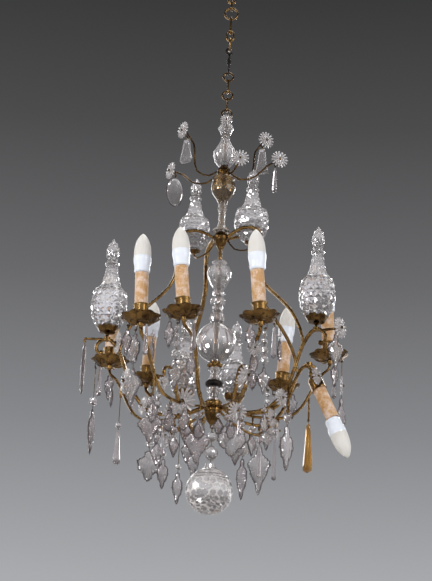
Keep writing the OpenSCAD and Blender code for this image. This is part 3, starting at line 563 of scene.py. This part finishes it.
# A bead's half section, in shares of half its width and half its height
BEAD_PROFILE = ((0, -1), (0.34, -1), (0.84, -0.5), (1, 0), (0.84, 0.5), (0.34, 1), (0, 1))
BEAD_SIDES = 10
BEAD_POINT = 0.06
PRISM_SIDES = 6

# Daisies are cut wider than their solids. Petals are in shares of the radius, of their room at the rim and
# of the thickness. The taper is a petal's width at the daisy's middle, and what it gains to the rim.
DAISY_GROWTH = 1.18
PETALS = 15
PETAL_CORNERS = 6
PETAL_LENGTH = 0.42
PETAL_WIDTH = 0.55
PETAL_TAPER = (0.45, 0.75)
PETAL_PLACE = 0.58
PETAL_EDGE = 0.12
PETAL_RIDGE = 0.3
BUTTON_PROFILE = ((0, -0.45), (0.2, -0.38), (0.3, 0), (0.2, 0.38), (0, 0.45))
BUTTON_SIDES = 12
PIN_SHARE = 0.075
PIN_PLACE = 0.46
PIN_PROFILE = ((0, 0), (1, 0), (1, 0.5), (0.7, 1), (0, 1.2))
PIN_SIDES = 16


def cut_bead(width, high):
    """A bead cut in four rings of flats, each with a low point, between two flat ends."""
    bm = spun([(out * width / 2, up * high / 2) for out, up in BEAD_PROFILE], BEAD_SIDES)
    sides = [f for f in bm.faces if len(f.verts) == 4]
    bmesh.ops.poke(bm, faces=sides, offset=width / 2 * BEAD_POINT)
    return bm


def cut_prism(width, high):
    """A long six-sided prism, slimmer at the top, with a shouldered point below."""
    r = width / 2
    h = high / 2
    profile = [(0, h), (r * 0.4, h - r * 0.4), (r * 0.5, h - r * 1.4), (r * 0.72, h * 0.05),
               (r, -h + r * 1.5), (r * 0.9, -h + r * 0.5), (0, -h)]
    return spun(profile, PRISM_SIDES, math.pi / PRISM_SIDES)


def cut_daisy(width, thin):
    """A cut glass daisy: narrow ridged petals round a small button."""
    r = width / 2 * DAISY_GROWTH
    bm = bmesh.new()
    bmesh.ops.create_circle(bm, cap_ends=True, radius=1, segments=PETAL_CORNERS)
    tip(bm)
    half_pitch = math.pi * r / PETALS
    bmesh.ops.scale(bm, vec=(r * PETAL_LENGTH, 1, half_pitch * PETAL_WIDTH), verts=bm.verts)
    bmesh.ops.translate(bm, vec=(r * PETAL_PLACE, 0, 0), verts=bm.verts)
    for vert in bm.verts:
        vert.co.z *= PETAL_TAPER[0] + PETAL_TAPER[1] * vert.co.x / r
    face = bm.faces[:][0]
    face_front(face)
    raise_face(bm, face, 1, thin * PETAL_EDGE, RIGHT * r)
    bmesh.ops.poke(bm, faces=[face], offset=thin * PETAL_RIDGE)
    mirror_to_back(bm)
    bmesh.ops.spin(bm, geom=everything(bm), cent=(0, 0, 0), axis=BACK, angle=math.tau * (1 - 1 / PETALS),
                   steps=PETALS - 1, use_duplicate=True)
    button = spun([(out * r, up * thin) for out, up in BUTTON_PROFILE], BUTTON_SIDES)
    tip(button)
    join(bm, button)
    return bm


def daisy_pin(width, thin):
    """The domed head of the brass pin that holds a daisy."""
    r = width * PIN_SHARE
    bm = spun([(out * r, up * r) for out, up in PIN_PROFILE], PIN_SIDES)
    tip(bm)
    bmesh.ops.translate(bm, vec=(0, -thin * PIN_PLACE, 0), verts=bm.verts)
    return bm


# Drops, strands and daisies that stand for CAD nodes

DROP_NODES = ("small_drops", "bead_strands", "ball_beads", "rosettes", "crown_left_plate", "crown_left_oval",
              "crown_right_plate", "crown_right_prism", "left_leaf", "right_spear", "left_outer_leaf",
              "front_left_plaque", "right_leaf", "rear_left_leaf", "front_left_kite", "front_shield",
              "rear_right_spear", "amber_prism", "centre_left_kite", "front_right_leaf")

# Plates without notches, and plates that keep their solids' turn, clear of the arms
SMOOTH_PLATES = ("crown_left_oval", "left_leaf")
HELD_STILL = ("front_left_plaque", "left_leaf", "left_outer_leaf")

# Thinner or lower pieces are wire, and higher plates are notched
WIRE_THIN = 2.7 * MM
WIRE_LOW = 3 * MM
NOTCHED_OVER = 45 * MM

# Shares of the width: thicker pieces are round, higher round ones are prisms, and higher plates bevel steeply
ROUND_OVER = 0.8
PRISM_OVER = 1.8
STEEP_OVER = 1.5

# Daisies are about as high as they are wide; those of the lower arms are drawn a quarter wider
DAISY_HEIGHTS = (0.88, 1.13)
DAISY_UNDER = 34 * MM
LOWER_DAISIES = -0.75
LOWER_GROWTH = 1.25


def is_daisy(wide, thin, high):
    """Whether a solid of that size is a daisy."""
    round_face = DAISY_HEIGHTS[0] < high / wide < DAISY_HEIGHTS[1]
    return thin <= ROUND_OVER * wide and round_face and wide < DAISY_UNDER


def cut_drop(name, part):
    """A prism, bead, panel or plate, cut afresh in the place of a node's solid."""
    place, (wide, thin, high) = lie_of(part)
    if thin > ROUND_OVER * wide:
        made = cut_prism(wide, high) if high > PRISM_OVER * wide else cut_bead(wide, high)
        part.free()
    elif name in PANELS:
        made = panel(PANELS[name], thin, high)
        place = turned_to_front(place)
        part.free()
    else:
        made = part
        bmesh.ops.transform(made, matrix=place.inverted(), verts=made.verts)
        face = outline_face(made, high > NOTCHED_OVER and name not in SMOOTH_PLATES)
        bevel_both_sides(made, face, thin, STEEP_BEVELS if high > STEEP_OVER * wide else OPEN_BEVELS)
        if name not in HELD_STILL:
            place = turned_to_front(place)
    bmesh.ops.transform(made, matrix=place, verts=made.verts)
    return made


def dress_drops(name):
    """Every solid of a node of drops, cut afresh as what it is: wire, daisy, or a drop of another form."""
    slot = slot_of[name]
    glass, daisies, wires, pins = bmesh.new(), bmesh.new(), bmesh.new(), bmesh.new()
    for part in solids(name):
        place, (wide, thin, high) = lie_of(part)
        if min(wide, thin) < WIRE_THIN or high < WIRE_LOW:
            join(wires, part)
        elif is_daisy(wide, thin, high):
            if name == "rosettes" and place.translation.z < LOWER_DAISIES:
                wide *= LOWER_GROWTH
            for bm, target in ((cut_daisy(wide, thin), daisies), (daisy_pin(wide, thin), pins)):
                bmesh.ops.transform(bm, matrix=place, verts=bm.verts)
                join(target, bm)
            part.free()
        else:
            join(glass, cut_drop(name, part))
    make_piece(name + "_glass", glass, name, slot, edges=shade_painted_edge_glass)
    make_piece(name + "_wires", wires, name, "dark_brass", smooth_under=50)
    make_piece(name + "_daisies", daisies, name, slot, material=bright_glass)
    make_piece(name + "_pins", pins, name, "dark_brass", smooth_under=40)


# Daisies and still drops on the lower arms, beside those of the CAD nodes

# Seats in millimetres, on the straps, and each daisy's width
ARM_DAISIES = ((-171, 0, -754, 36), (-152, -4, -828, 42), (-50, -64, -883, 44), (55, -153, -860, 32),
               (210, -116, -750, 34), (64, -175, -818, 26), (174, -66, -824, 28), (-99, 28, -894, 34),
               (114, -66, -868, 30), (-118, -4, -874, 30))
DAISY_THIN = 7 * MM
DAISY_STANDS_OFF = 9 * MM
SHANK_R = 1.2 * MM
SHANK_SIDES = 10
DAISIES_DRAWN_FORWARD = 60

# Seats in millimetres, the length of wire below each, and the drop's kind, width and height
ARM_DROPS = ((46, -110, -896, 4, "prism", 8, 46), (-42, -137, -796, 8, "leaf", 20, 46),
             (66, -179, -804, 6, "leaf", 18, 44), (65, -163, -836, 4, "kite", 22, 40),
             (-104, -133, -894, 3, "kite", 26, 42), (-23, -90, -904, 3, "leaf", 24, 44),
             (-75, -95, -888, 5, "leaf", 22, 48), (133, -41, -851, 5, "kite", 24, 44),
             (-87, 1, -887, 8, "prism", 8, 60), (32, -91, -904, 5, "leaf", 18, 40),
             (119, 66, -688, 6, "leaf", 20, 50), (-119, 66, -700, 6, "leaf", 20, 50),
             (-188, 66, -797, 6, "leaf", 18, 44), (10, -88, -904, 3, "kite", 20, 34),
             (-50, -110, -896, 4, "leaf", 22, 42), (90, -80, -886, 4, "leaf", 20, 40))
DROP_WIRE_R = 0.6 * MM
DROP_WIRE_SIDES = 8
WIRE_INTO_ARM = 1 * MM
DROP_BEAD_WIDE = 9
DROP_BEAD_HIGH = 8
DROP_BEAD_GAP = 1
DROPS_DRAWN_FORWARD = 80


def way_out(x, y, drawn_forward):
    """The way a piece on an arm faces: away from the column, and drawn towards the front."""
    return Vector((x, min(y, 0) - drawn_forward, 0)).normalized()


def faced(seat, out):
    """A frame at a seat whose front, -Y, faces out."""
    return Matrix.Translation(seat) @ Matrix((UP.cross(out), -out, UP)).transposed().to_4x4()


def pin_arm_daisies():
    """Daisies on pins through the lower arms and brackets, each faced out where it is pinned."""
    daisies, pins = bmesh.new(), bmesh.new()
    for x, y, z, width in ARM_DAISIES:
        out = way_out(x, y, DAISIES_DRAWN_FORWARD)
        place = faced(Vector((x, y, z)) * MM + out * DAISY_STANDS_OFF, out)
        shank = spun([(0, 0), (SHANK_R, 0), (SHANK_R, DAISY_STANDS_OFF), (0, DAISY_STANDS_OFF)], SHANK_SIDES)
        tip(shank, -90)
        daisy = cut_daisy(width * MM, DAISY_THIN)
        pin = daisy_pin(width * MM, DAISY_THIN)
        for bm, target in ((daisy, daisies), (pin, pins), (shank, pins)):
            bmesh.ops.transform(bm, matrix=place, verts=bm.verts)
            join(target, bm)
    make_piece("arm_daisies", daisies, "rosettes", "clear_glass", material=bright_glass, stands_for=False)
    make_piece("arm_daisy_pins", pins, "rosettes", "dark_brass", smooth_under=40, stands_for=False)


def wire_arm_drops():
    """Still drops wired under the lower arms: a bead, then a leaf, a kite or a slim prism."""
    glass, wires = bmesh.new(), bmesh.new()
    for x, y, z, down, kind, width, high in ARM_DROPS:
        place = faced(Vector((x, y, z)) * MM, way_out(x, y, DROPS_DRAWN_FORWARD))
        side = [(0, WIRE_INTO_ARM), (DROP_WIRE_R, WIRE_INTO_ARM), (DROP_WIRE_R, -down * MM), (0, -down * MM)]
        wire = spun(side, DROP_WIRE_SIDES)
        bead = cut_bead(DROP_BEAD_WIDE * MM, DROP_BEAD_HIGH * MM)
        bmesh.ops.translate(bead, vec=-UP * (down + DROP_BEAD_HIGH / 2) * MM, verts=bead.verts)
        if kind == "prism":
            drop = cut_prism(width * MM, high * MM)
        else:
            drop = small_plate(kind, width * MM, high * MM)
        top = down + DROP_BEAD_HIGH + DROP_BEAD_GAP
        bmesh.ops.translate(drop, vec=-UP * (top + high / 2) * MM, verts=drop.verts)
        for bm, target in ((wire, wires), (bead, glass), (drop, glass)):
            bmesh.ops.transform(bm, matrix=place, verts=bm.verts)
            join(target, bm)
    make_piece("arm_drops", glass, "small_drops", "violet_glass", edges=shade_painted_edge_glass, stands_for=False)
    make_piece("arm_drop_wires", wires, "small_drops", "dark_brass", smooth_under=40, stands_for=False)


# Spires

SPIRE_NODES = ("spire_left", "spire_right", "rear_spire_left", "rear_spire_right", "inner_spire_left",
               "inner_spire_right")
SPIRE_SIDES = 14

# Foot, body, stepped shoulder, neck, collar and bud, in shares of the spire's radius and height
SPIRE_PROFILE = ((0, 0), (0.34, 0), (0.3, 0.015), (0.54, 0.035), (0.72, 0.08), (0.86, 0.13), (0.95, 0.19),
                 (1, 0.26), (0.98, 0.33), (0.93, 0.385), (0.85, 0.43), (0.66, 0.455), (0.53, 0.505),
                 (0.43, 0.57), (0.36, 0.635), (0.3, 0.695), (0.39, 0.712), (0.38, 0.728), (0.23, 0.745),
                 (0.25, 0.77), (0.33, 0.82), (0.35, 0.86), (0.27, 0.91), (0.15, 0.958), (0, 1))

# Raised diamonds on the body and the bud, and hollow flutes on the neck: from, to, and rise
SPIRE_CUTS = ((0.035, 0.44, 0.07), (0.74, 0.95, 0.045), (0.44, 0.7, -0.035))


def cut_spire(part):
    """A cut spire: a foot, a body of raised diamonds, a stepped shoulder, a fluted neck and a cut bud."""
    wide, thin, high = lie_of(part)[1]
    foot = middle_of(part) - UP * high / 2
    r = max(wide, thin) / 2
    part.free()
    bm = spun([(out * r, up * high) for out, up in SPIRE_PROFILE], SPIRE_SIDES)
    for low, top, rise in SPIRE_CUTS:
        cut = [f for f in bm.faces if len(f.verts) == 4 and low < f.calc_center_median().z / high < top]
        bmesh.ops.poke(bm, faces=cut, offset=r * rise)
    bmesh.ops.translate(bm, vec=foot, verts=bm.verts)
    return bm


def dress_spire(name):
    """A spire's solid is cut afresh."""
    glass = bmesh.new()
    for part in solids(name):
        join(glass, cut_spire(part))
    make_piece(name + "_cut", glass, name, slot_of[name])


# The column's glass

TURNED_NODES = ("crown_glass", "column_glass", "large_ball")
TURNED_SIDES = 72
TURNED_MERGE = 0.02 * MM
TURNED_SHADING = 38
COLUMN_CUT_SIDES = 14
FLATS_LEAN_UNDER = 0.85
FLATS_OVER = 12 * MM * MM
FLAT_POINT = 0.5 * MM

# Pieces of the column are told apart by the height of their foot, in metres
SMOKY_BELOW = -0.44
CUT_BAND = (-0.71, -0.6)


def turned_again(part, sides=TURNED_SIDES):
    """Spins a turned solid again from its own half section, so that it has as many sides as asked."""
    middle = middle_of(part)
    bmesh.ops.translate(part, vec=-middle, verts=part.verts)
    bmesh.ops.bisect_plane(part, geom=everything(part), dist=ON_PLANE, plane_co=(0, 0, 0), plane_no=BACK,
                           clear_inner=True, clear_outer=True)
    bmesh.ops.bisect_plane(part, geom=part.verts[:] + part.edges[:], dist=ON_PLANE, plane_co=(0, 0, 0),
                           plane_no=RIGHT, clear_inner=True)
    on_axis = [e for e in part.edges if all(abs(v.co.x) < MERGE for v in e.verts)]
    bmesh.ops.delete(part, geom=on_axis, context="EDGES")
    bmesh.ops.remove_doubles(part, verts=part.verts, dist=TURNED_MERGE)
    bmesh.ops.spin(part, geom=part.verts[:] + part.edges[:], cent=(0, 0, 0), axis=UP, angle=math.tau,
                   steps=sides, use_merge=True)
    bmesh.ops.remove_doubles(part, verts=part.verts, dist=MERGE)
    bmesh.ops.translate(part, vec=middle, verts=part.verts)
    return part


def cut_turned(part):
    """A turned solid of the column cut into flats all round, each with a low point in its middle."""
    bm = turned_again(part, COLUMN_CUT_SIDES)
    steep = [f for f in bm.faces if len(f.verts) == 4 and abs(f.normal.z) < FLATS_LEAN_UNDER]
    bmesh.ops.poke(bm, faces=[f for f in steep if f.calc_area() > FLATS_OVER], offset=FLAT_POINT)
    return bm


def dress_column():
    """The column's glass: cut baluster and urn, a smoky bowl, and smooth turned pieces between."""
    for name in TURNED_NODES:
        smooth, cut, smoky = bmesh.new(), bmesh.new(), bmesh.new()
        for part in solids(name):
            foot = span(part, UP)[0]
            if name == "crown_glass" and foot < SMOKY_BELOW:
                join(smoky, turned_again(part))
            elif name == "crown_glass" or CUT_BAND[0] < foot < CUT_BAND[1]:
                join(cut, cut_turned(part))
            else:
                join(smooth, turned_again(part))
        make_piece(name + "_smooth", smooth, name, slot_of[name], smooth_under=TURNED_SHADING)
        make_piece(name + "_cut", cut, name, slot_of[name])
        make_piece(name + "_smoky", smoky, name, "amber_glass", smooth_under=TURNED_SHADING,
                   material=smoky_glass)


# The bottom ball: its levels and depths are shares of its radius, from its middle

FACETS_BELOW = 0.42
FACET_DEPTH = 0.9885
FACET_SLIP = 0.035
FACET_SEED = 7
FACET_GUIDE = 3
BALL_FINENESS = 6
RING_DEPTH = 0.012
RING_PITCH = 0.16
BALL_SHADING = 6

# The stem over the ball, in shares of the ball's radius: its foot, its shoulder and its neck
STEM_FOOT = 0.9
STEM_SHOULDER = (0.3, 0.93)
STEM_NECK = 0.2
STEM_SIDES = 32


def facet_directions():
    """The way each facet of the ball faces: evenly over its lower part, with the slips of a cutter's hand."""
    guide = bmesh.new()
    bmesh.ops.create_icosphere(guide, subdivisions=FACET_GUIDE, radius=1)
    slips = random.Random(FACET_SEED)
    directions = []
    for vert in guide.verts:
        if vert.co.z < FACETS_BELOW:
            slip = Vector([slips.uniform(-FACET_SLIP, FACET_SLIP) for _ in range(3)])
            directions.append((vert.co.normalized() + slip).normalized())
    guide.free()
    return directions


def ground_ball(radius):
    """A ball ground flat in facets over its lower part, and cut with rings above them."""
    ball = bmesh.new()
    bmesh.ops.create_icosphere(ball, subdivisions=BALL_FINENESS, radius=radius)
    directions = facet_directions()
    ground = set()
    for vert in ball.verts:
        direction = max(directions, key=vert.co.dot)
        over = vert.co.dot(direction) - radius * FACET_DEPTH
        if over > 0:
            vert.co -= direction * over
            ground.add(vert)
        elif vert.co.z > radius * FACETS_BELOW:
            vert.co *= 1 - RING_DEPTH * (0.5 - 0.5 * math.cos(math.tau * vert.co.z / (radius * RING_PITCH)))
    for face in ball.faces:
        in_facets = face.calc_center_median().z < radius * FACETS_BELOW
        face.material_index = 1 if in_facets and not all(v in ground for v in face.verts) else 0
    return ball


def dress_ball(name):
    """The bottom ball, with facets whose edges are worn, rings round its top, and its stem."""
    bm = bmesh.new()
    for part in solids(name):
        low, neck = span(part, UP)
        middle = middle_of(part)
        radius = span(part, RIGHT)[1] - middle.x
        centre = Vector((middle.x, middle.y, low + radius))
        part.free()
        ball = ground_ball(radius)
        bmesh.ops.translate(ball, vec=centre, verts=ball.verts)
        join(bm, ball)
        stem = spun([(0, centre.z + radius * STEM_FOOT),
                     (radius * STEM_SHOULDER[0], centre.z + radius * STEM_SHOULDER[1]),
                     (radius * STEM_NECK, neck), (0, neck)], STEM_SIDES)
        bmesh.ops.translate(stem, vec=(centre.x, centre.y, 0), verts=stem.verts)
        join(bm, stem)
    make_piece(name + "_cut", bm, name, slot_of[name], smooth_under=BALL_SHADING, edges=worn_glass)


# Candles: heights are measured from the middle of the candle's sleeve, along the candle

CANDLE_NODES = ("drip_pans", "bulbs", "bulb_collars")
CANDLE_SIDES = 40
BULB_R = 15.75 * MM
SLEEVE_INSIDE = 9.6 * MM
COLLAR_FOOT = 40.5 * MM
COLLAR_TOP = 71.2 * MM
PLUG_DEPTH = 4 * MM
COLLAR_RINGS = 7
RINGS_R = 0.86 * BULB_R
RINGS_FROM = 3 * MM
RING_STEP = 1.6 * MM
RING_PROUD = 0.5 * MM
LIP_R = 0.985 * BULB_R
LIP_ROUND = 0.8 * MM
DOME_GAP = 0.05 * MM
DOME_HIGH = 46.8 * MM
DOME_STEPS = 14

# The dome's powers: a higher first one keeps its sides full, and a lower second one blunts its point
DOME_CURVE = (2.7, 0.8)

# The drip pans, pressed into petals: their half section in shares of their radius and rise
PAN_PROFILE = ((0.2, 0), (0.34, 0.03), (0.48, 0.12), (0.62, 0.27), (0.74, 0.45), (0.85, 0.68), (0.93, 0.88),
               (0.985, 0.99), (0.995, 0.97))
PAN_R = 36 * MM
PAN_RISE = 12 * MM
PAN_FOOT = -54.5 * MM
PAN_THIN = 0.7 * MM
PAN_PETALS = 8
STEPS_PER_PETAL = 16
SCALLOP = 4 * MM
SCALLOP_FROM = 0.55
RIB_DEPTH = 1.9 * MM
RIB_SHARPNESS = 16
PETAL_CUPPING = 1.2 * MM


def candle_axes():
    """Each candle's middle and the way it points, from its sleeve and its bulb."""
    sleeves = [middle_of(part) for part in solids("candle_sleeves")]
    bulbs = [middle_of(part) for part in solids("bulbs")]
    axes = []
    for sleeve in sleeves:
        bulb = min(bulbs, key=lambda place: (place - sleeve).length)
        axes.append((sleeve, (bulb - sleeve).normalized()))
    return axes


def stood_on(bm, middle, axis):
    """Turns a form made upright about the origin onto a candle's axis."""
    turn = axis.to_track_quat("Z", "Y").to_matrix().to_4x4()
    bmesh.ops.transform(bm, matrix=Matrix.Translation(middle) @ turn, verts=bm.verts)
    return bm


def ringed_collar():
    """The glossy collar of a bulb: a plug in the sleeve, ring lines round its foot, and a flared cup."""
    plug = [(0, COLLAR_FOOT - PLUG_DEPTH), (SLEEVE_INSIDE, COLLAR_FOOT - PLUG_DEPTH),
            (SLEEVE_INSIDE, COLLAR_FOOT + 0.5 * MM), (BULB_R * 0.76, COLLAR_FOOT + 0.6 * MM)]
    rings = [(RINGS_R + k % 2 * RING_PROUD, COLLAR_FOOT + RINGS_FROM + k * RING_STEP)
             for k in range(COLLAR_RINGS)]
    cup = [(BULB_R * 0.95, COLLAR_FOOT + 18 * MM), (BULB_R, COLLAR_FOOT + 25 * MM),
           (BULB_R, COLLAR_TOP - LIP_ROUND), (LIP_R, COLLAR_TOP), (0, COLLAR_TOP)]
    return spun(plug + rings + cup, CANDLE_SIDES)


def pointed_dome():
    """The frosted dome of a bulb, drawn out to a blunt point."""
    foot = COLLAR_TOP + DOME_GAP
    full, blunt = DOME_CURVE
    shares = [k / DOME_STEPS for k in range(DOME_STEPS + 1)]
    side = [(LIP_R * (1 - share ** full) ** blunt, foot + share * DOME_HIGH) for share in shares]
    return spun([(0, foot)] + side, CANDLE_SIDES)


def petal_pan():
    """A drip pan of eight petals, with a rib pressed down between them and a scalloped edge that curls."""
    side = [(out * PAN_R, PAN_FOOT + up * PAN_RISE) for out, up in PAN_PROFILE]
    pan = spun(side, STEPS_PER_PETAL * PAN_PETALS)
    for vert in pan.verts:
        out = math.hypot(vert.co.x, vert.co.y)
        share = out / PAN_R
        seam = abs(math.cos(PAN_PETALS * math.atan2(vert.co.y, vert.co.x) / 2))
        vert.co.z -= RIB_DEPTH * seam ** RIB_SHARPNESS * min(1.0, share * 2)
        vert.co.z += PETAL_CUPPING * (1 - seam) * share
        drawn_in = SCALLOP * seam ** 3 * max(0.0, (share - SCALLOP_FROM) / (1 - SCALLOP_FROM))
        vert.co.x *= (out - drawn_in) / out
        vert.co.y *= (out - drawn_in) / out
    bmesh.ops.recalc_face_normals(pan, faces=pan.faces)
    bmesh.ops.solidify(pan, geom=pan.faces[:], thickness=PAN_THIN)
    return pan


def dress_candles():
    """A collar and a dome for every bulb, and petals over each drip pan, which the drooping candle lacks."""
    collars, domes, pans = bmesh.new(), bmesh.new(), bmesh.new()
    for middle, axis in candle_axes():
        join(collars, stood_on(ringed_collar(), middle, axis))
        join(domes, stood_on(pointed_dome(), middle, axis))
        if axis.z > 0:
            join(pans, stood_on(petal_pan(), middle, axis))
    make_piece("bulb_collars_ringed", collars, "bulb_collars", "white_plastic", smooth_under=50)
    make_piece("bulbs_pointed", domes, "bulbs", "frosted", smooth_under=50)
    make_piece("drip_pans_petals", pans, "drip_pans", "dark_brass", smooth_under=50, stands_for=False)


# Nodes that keep the shape of their solids

SMOOTH_UNDER = 42
STRAP_SMOOTH_UNDER = 75

# The cast straps are fuller than their solids, by so many millimetres all round
STRAP_GROWTH = {"cage_ribs": 1.5, "brackets": 1.5, "candle_arms": 1.0, "crown_arms": 0.3}


def dress_smooth(name):
    """A node in its own shape with round faces smooth. A strap is fuller, but stays inside the CAD box."""
    bm = bmesh.new()
    for part in solids(name):
        join(bm, part)
    bm.normal_update()
    growth = STRAP_GROWTH.get(name, 0) * MM
    grown = [(vert, vert.co + vert.normal * growth) for vert in bm.verts]
    for vert, place in grown:
        vert.co = [min(max(c, low), high) for c, low, high in zip(place, *cad_box)]
    smooth_under = STRAP_SMOOTH_UNDER if name in STRAP_GROWTH else SMOOTH_UNDER
    make_piece(name + "_finished", bm, name, slot_of[name], smooth_under)


# Studio

FLOOR_Z = -2.6
FLOOR_SIZE = 12

# The backdrop's grey, by the height that is looked at, from level to straight up
BACKDROP = ((0.1, "#c4c5c8"), (0.215, "#a9aaad"), (0.3, "#87888b"), (0.38, "#69696b"), (0.46, "#4c4c4d"),
            (0.53, "#383839"), (1.0, "#2a2a2b"))
SOFT_LIGHT = 0.55

# Each lamp's name, place, size and power, and whether it is seen through glass and in reflections
LAMPS = (("key_lamp", (-2.2, -2.4, 0.4), 1.3, 50, False, False),
         ("window_lamp", (-1.4, -2.6, -0.9), 0.42, 9, True, True),
         ("left_strip_lamp", (-2.6, -1.2, 0.2), 0.5, 10, True, True),
         ("glint_lamp", (1.8, -2.2, 0.3), 0.3, 6, True, True),
         ("fill_lamp", (2.4, -1.8, -0.4), 1.8, 26, False, True),
         ("top_lamp", (0.4, 0.6, 1.6), 1.6, 26, False, True),
         ("back_lamp", (-0.8, 2.6, 0.2), 1.4, 20, False, True),
         ("rear_glint_lamp", (0.9, 2.4, 0.5), 0.35, 8, True, True))

# Small lamps all round, and soft boxes behind, make the cut glass sparkle
GLINTS = 11
GLINTS_FROM = 0.3
GLINT_REACH = 2.7
GLINT_RISES = (0.9, -1.4, 0.1, -0.7)
GLINT_SIZE = 0.11
GLINT_POWER = 0.9
BOX_TURNS = (-84, -58, -34, 30, 52, 80)
BOX_REACH = 2.6
BOX_RISES = (0.7, -0.5, 1.1, -0.9)
BOX_SIZE = 0.42
BOX_POWER = 2.6


def lay_floor():
    """A plain pale floor, far below."""
    bpy.ops.mesh.primitive_plane_add(size=FLOOR_SIZE, location=(0, 0, FLOOR_Z))
    floor = bpy.context.object
    floor.name = "floor"
    made, tree, shader, place = start_material("pale_floor")
    tone = add(tree, "ShaderNodeTexNoise", {"Vector": place, "Scale": 1 / (300 * MM)})
    colour = add(tree, "ShaderNodeMix", {"Factor": tone, "A": "#d6d5d3", "B": "#cfcecc"}, data_type="RGBA")
    feed(shader, {"Base Color": colour, "Roughness": 0.8})
    floor.data.materials.append(made)


def hang_backdrop():
    """A plain backdrop that darkens upwards, which metal and glass show too, and an even soft light."""
    world = bpy.data.worlds.new("studio")
    bpy.context.scene.world = world
    world.use_nodes = True
    tree = world.node_tree
    tree.nodes.clear()
    direction = add(tree, "ShaderNodeTexCoord").outputs["Generated"]
    height = add(tree, "ShaderNodeSeparateXYZ", {"Vector": direction}).outputs["Z"]
    grey = add(tree, "ShaderNodeValToRGB", {"Fac": height})
    stops = grey.color_ramp.elements
    while len(stops) < len(BACKDROP):
        stops.new(0.5)
    for stop, (level, colour) in zip(stops, BACKDROP):
        stop.position = level
        stop.color = linear(colour)
    seen = add(tree, "ShaderNodeBackground", {"Color": grey, "Strength": 1.0})
    soft = add(tree, "ShaderNodeBackground", {"Color": "#f4f4f6", "Strength": SOFT_LIGHT})
    ray = add(tree, "ShaderNodeLightPath").outputs
    seen_or_mirrored = {0: ray["Is Camera Ray"], 1: ray["Is Glossy Ray"]}
    shown = add(tree, "ShaderNodeMath", seen_or_mirrored, operation="MAXIMUM")
    shown = add(tree, "ShaderNodeMath", {0: shown, 1: ray["Is Transmission Ray"]}, operation="MAXIMUM")
    mixed = add(tree, "ShaderNodeMixShader", {0: shown, 1: soft, 2: seen})
    add(tree, "ShaderNodeOutputWorld", {"Surface": mixed})


def light_lamp(name, place, size, power, through_glass, reflected):
    """A square soft lamp, turned to the chandelier. The camera doesn't see it."""
    data = bpy.data.lights.new(name, "AREA")
    data.size = size
    data.energy = power
    lamp = bpy.data.objects.new(name, data)
    lamp.location = place
    lamp.rotation_euler = (CAMERA_TARGET - Vector(place)).to_track_quat("-Z", "Y").to_euler()
    lamp.visible_camera = False
    lamp.visible_transmission = through_glass
    lamp.visible_glossy = reflected
    bpy.context.scene.collection.objects.link(lamp)


def light_lamps():
    """The soft lamps, the small glint lamps all round, and the soft boxes behind."""
    for lamp in LAMPS:
        light_lamp(*lamp)
    for k in range(GLINTS):
        turn = k * math.tau / GLINTS + GLINTS_FROM
        rise = GLINT_RISES[k % len(GLINT_RISES)]
        place = (GLINT_REACH * math.sin(turn), -GLINT_REACH * math.cos(turn), rise)
        light_lamp(f"glint_lamp_{k + 1}", place, GLINT_SIZE, GLINT_POWER, True, True)
    for k, degrees in enumerate(BOX_TURNS):
        turn = math.radians(degrees)
        rise = BOX_RISES[k % len(BOX_RISES)]
        place = (BOX_REACH * math.sin(turn), BOX_REACH * math.cos(turn), rise)
        light_lamp(f"soft_box_{k + 1}", place, BOX_SIZE, BOX_POWER, True, True)


bpy.context.scene.view_settings.view_transform = "Standard"
place_camera()
lay_floor()
hang_backdrop()
light_lamps()
dress_cad_nodes()
for name in DROP_NODES:
    dress_drops(name)
for name in SPIRE_NODES:
    dress_spire(name)
dress_column()
dress_ball("bottom_ball")
dress_candles()
pin_arm_daisies()
wire_arm_drops()
dressed = DROP_NODES + SPIRE_NODES + TURNED_NODES + CANDLE_NODES + ("bottom_ball",)
for name in nodes:
    if name not in dressed:
        dress_smooth(name)
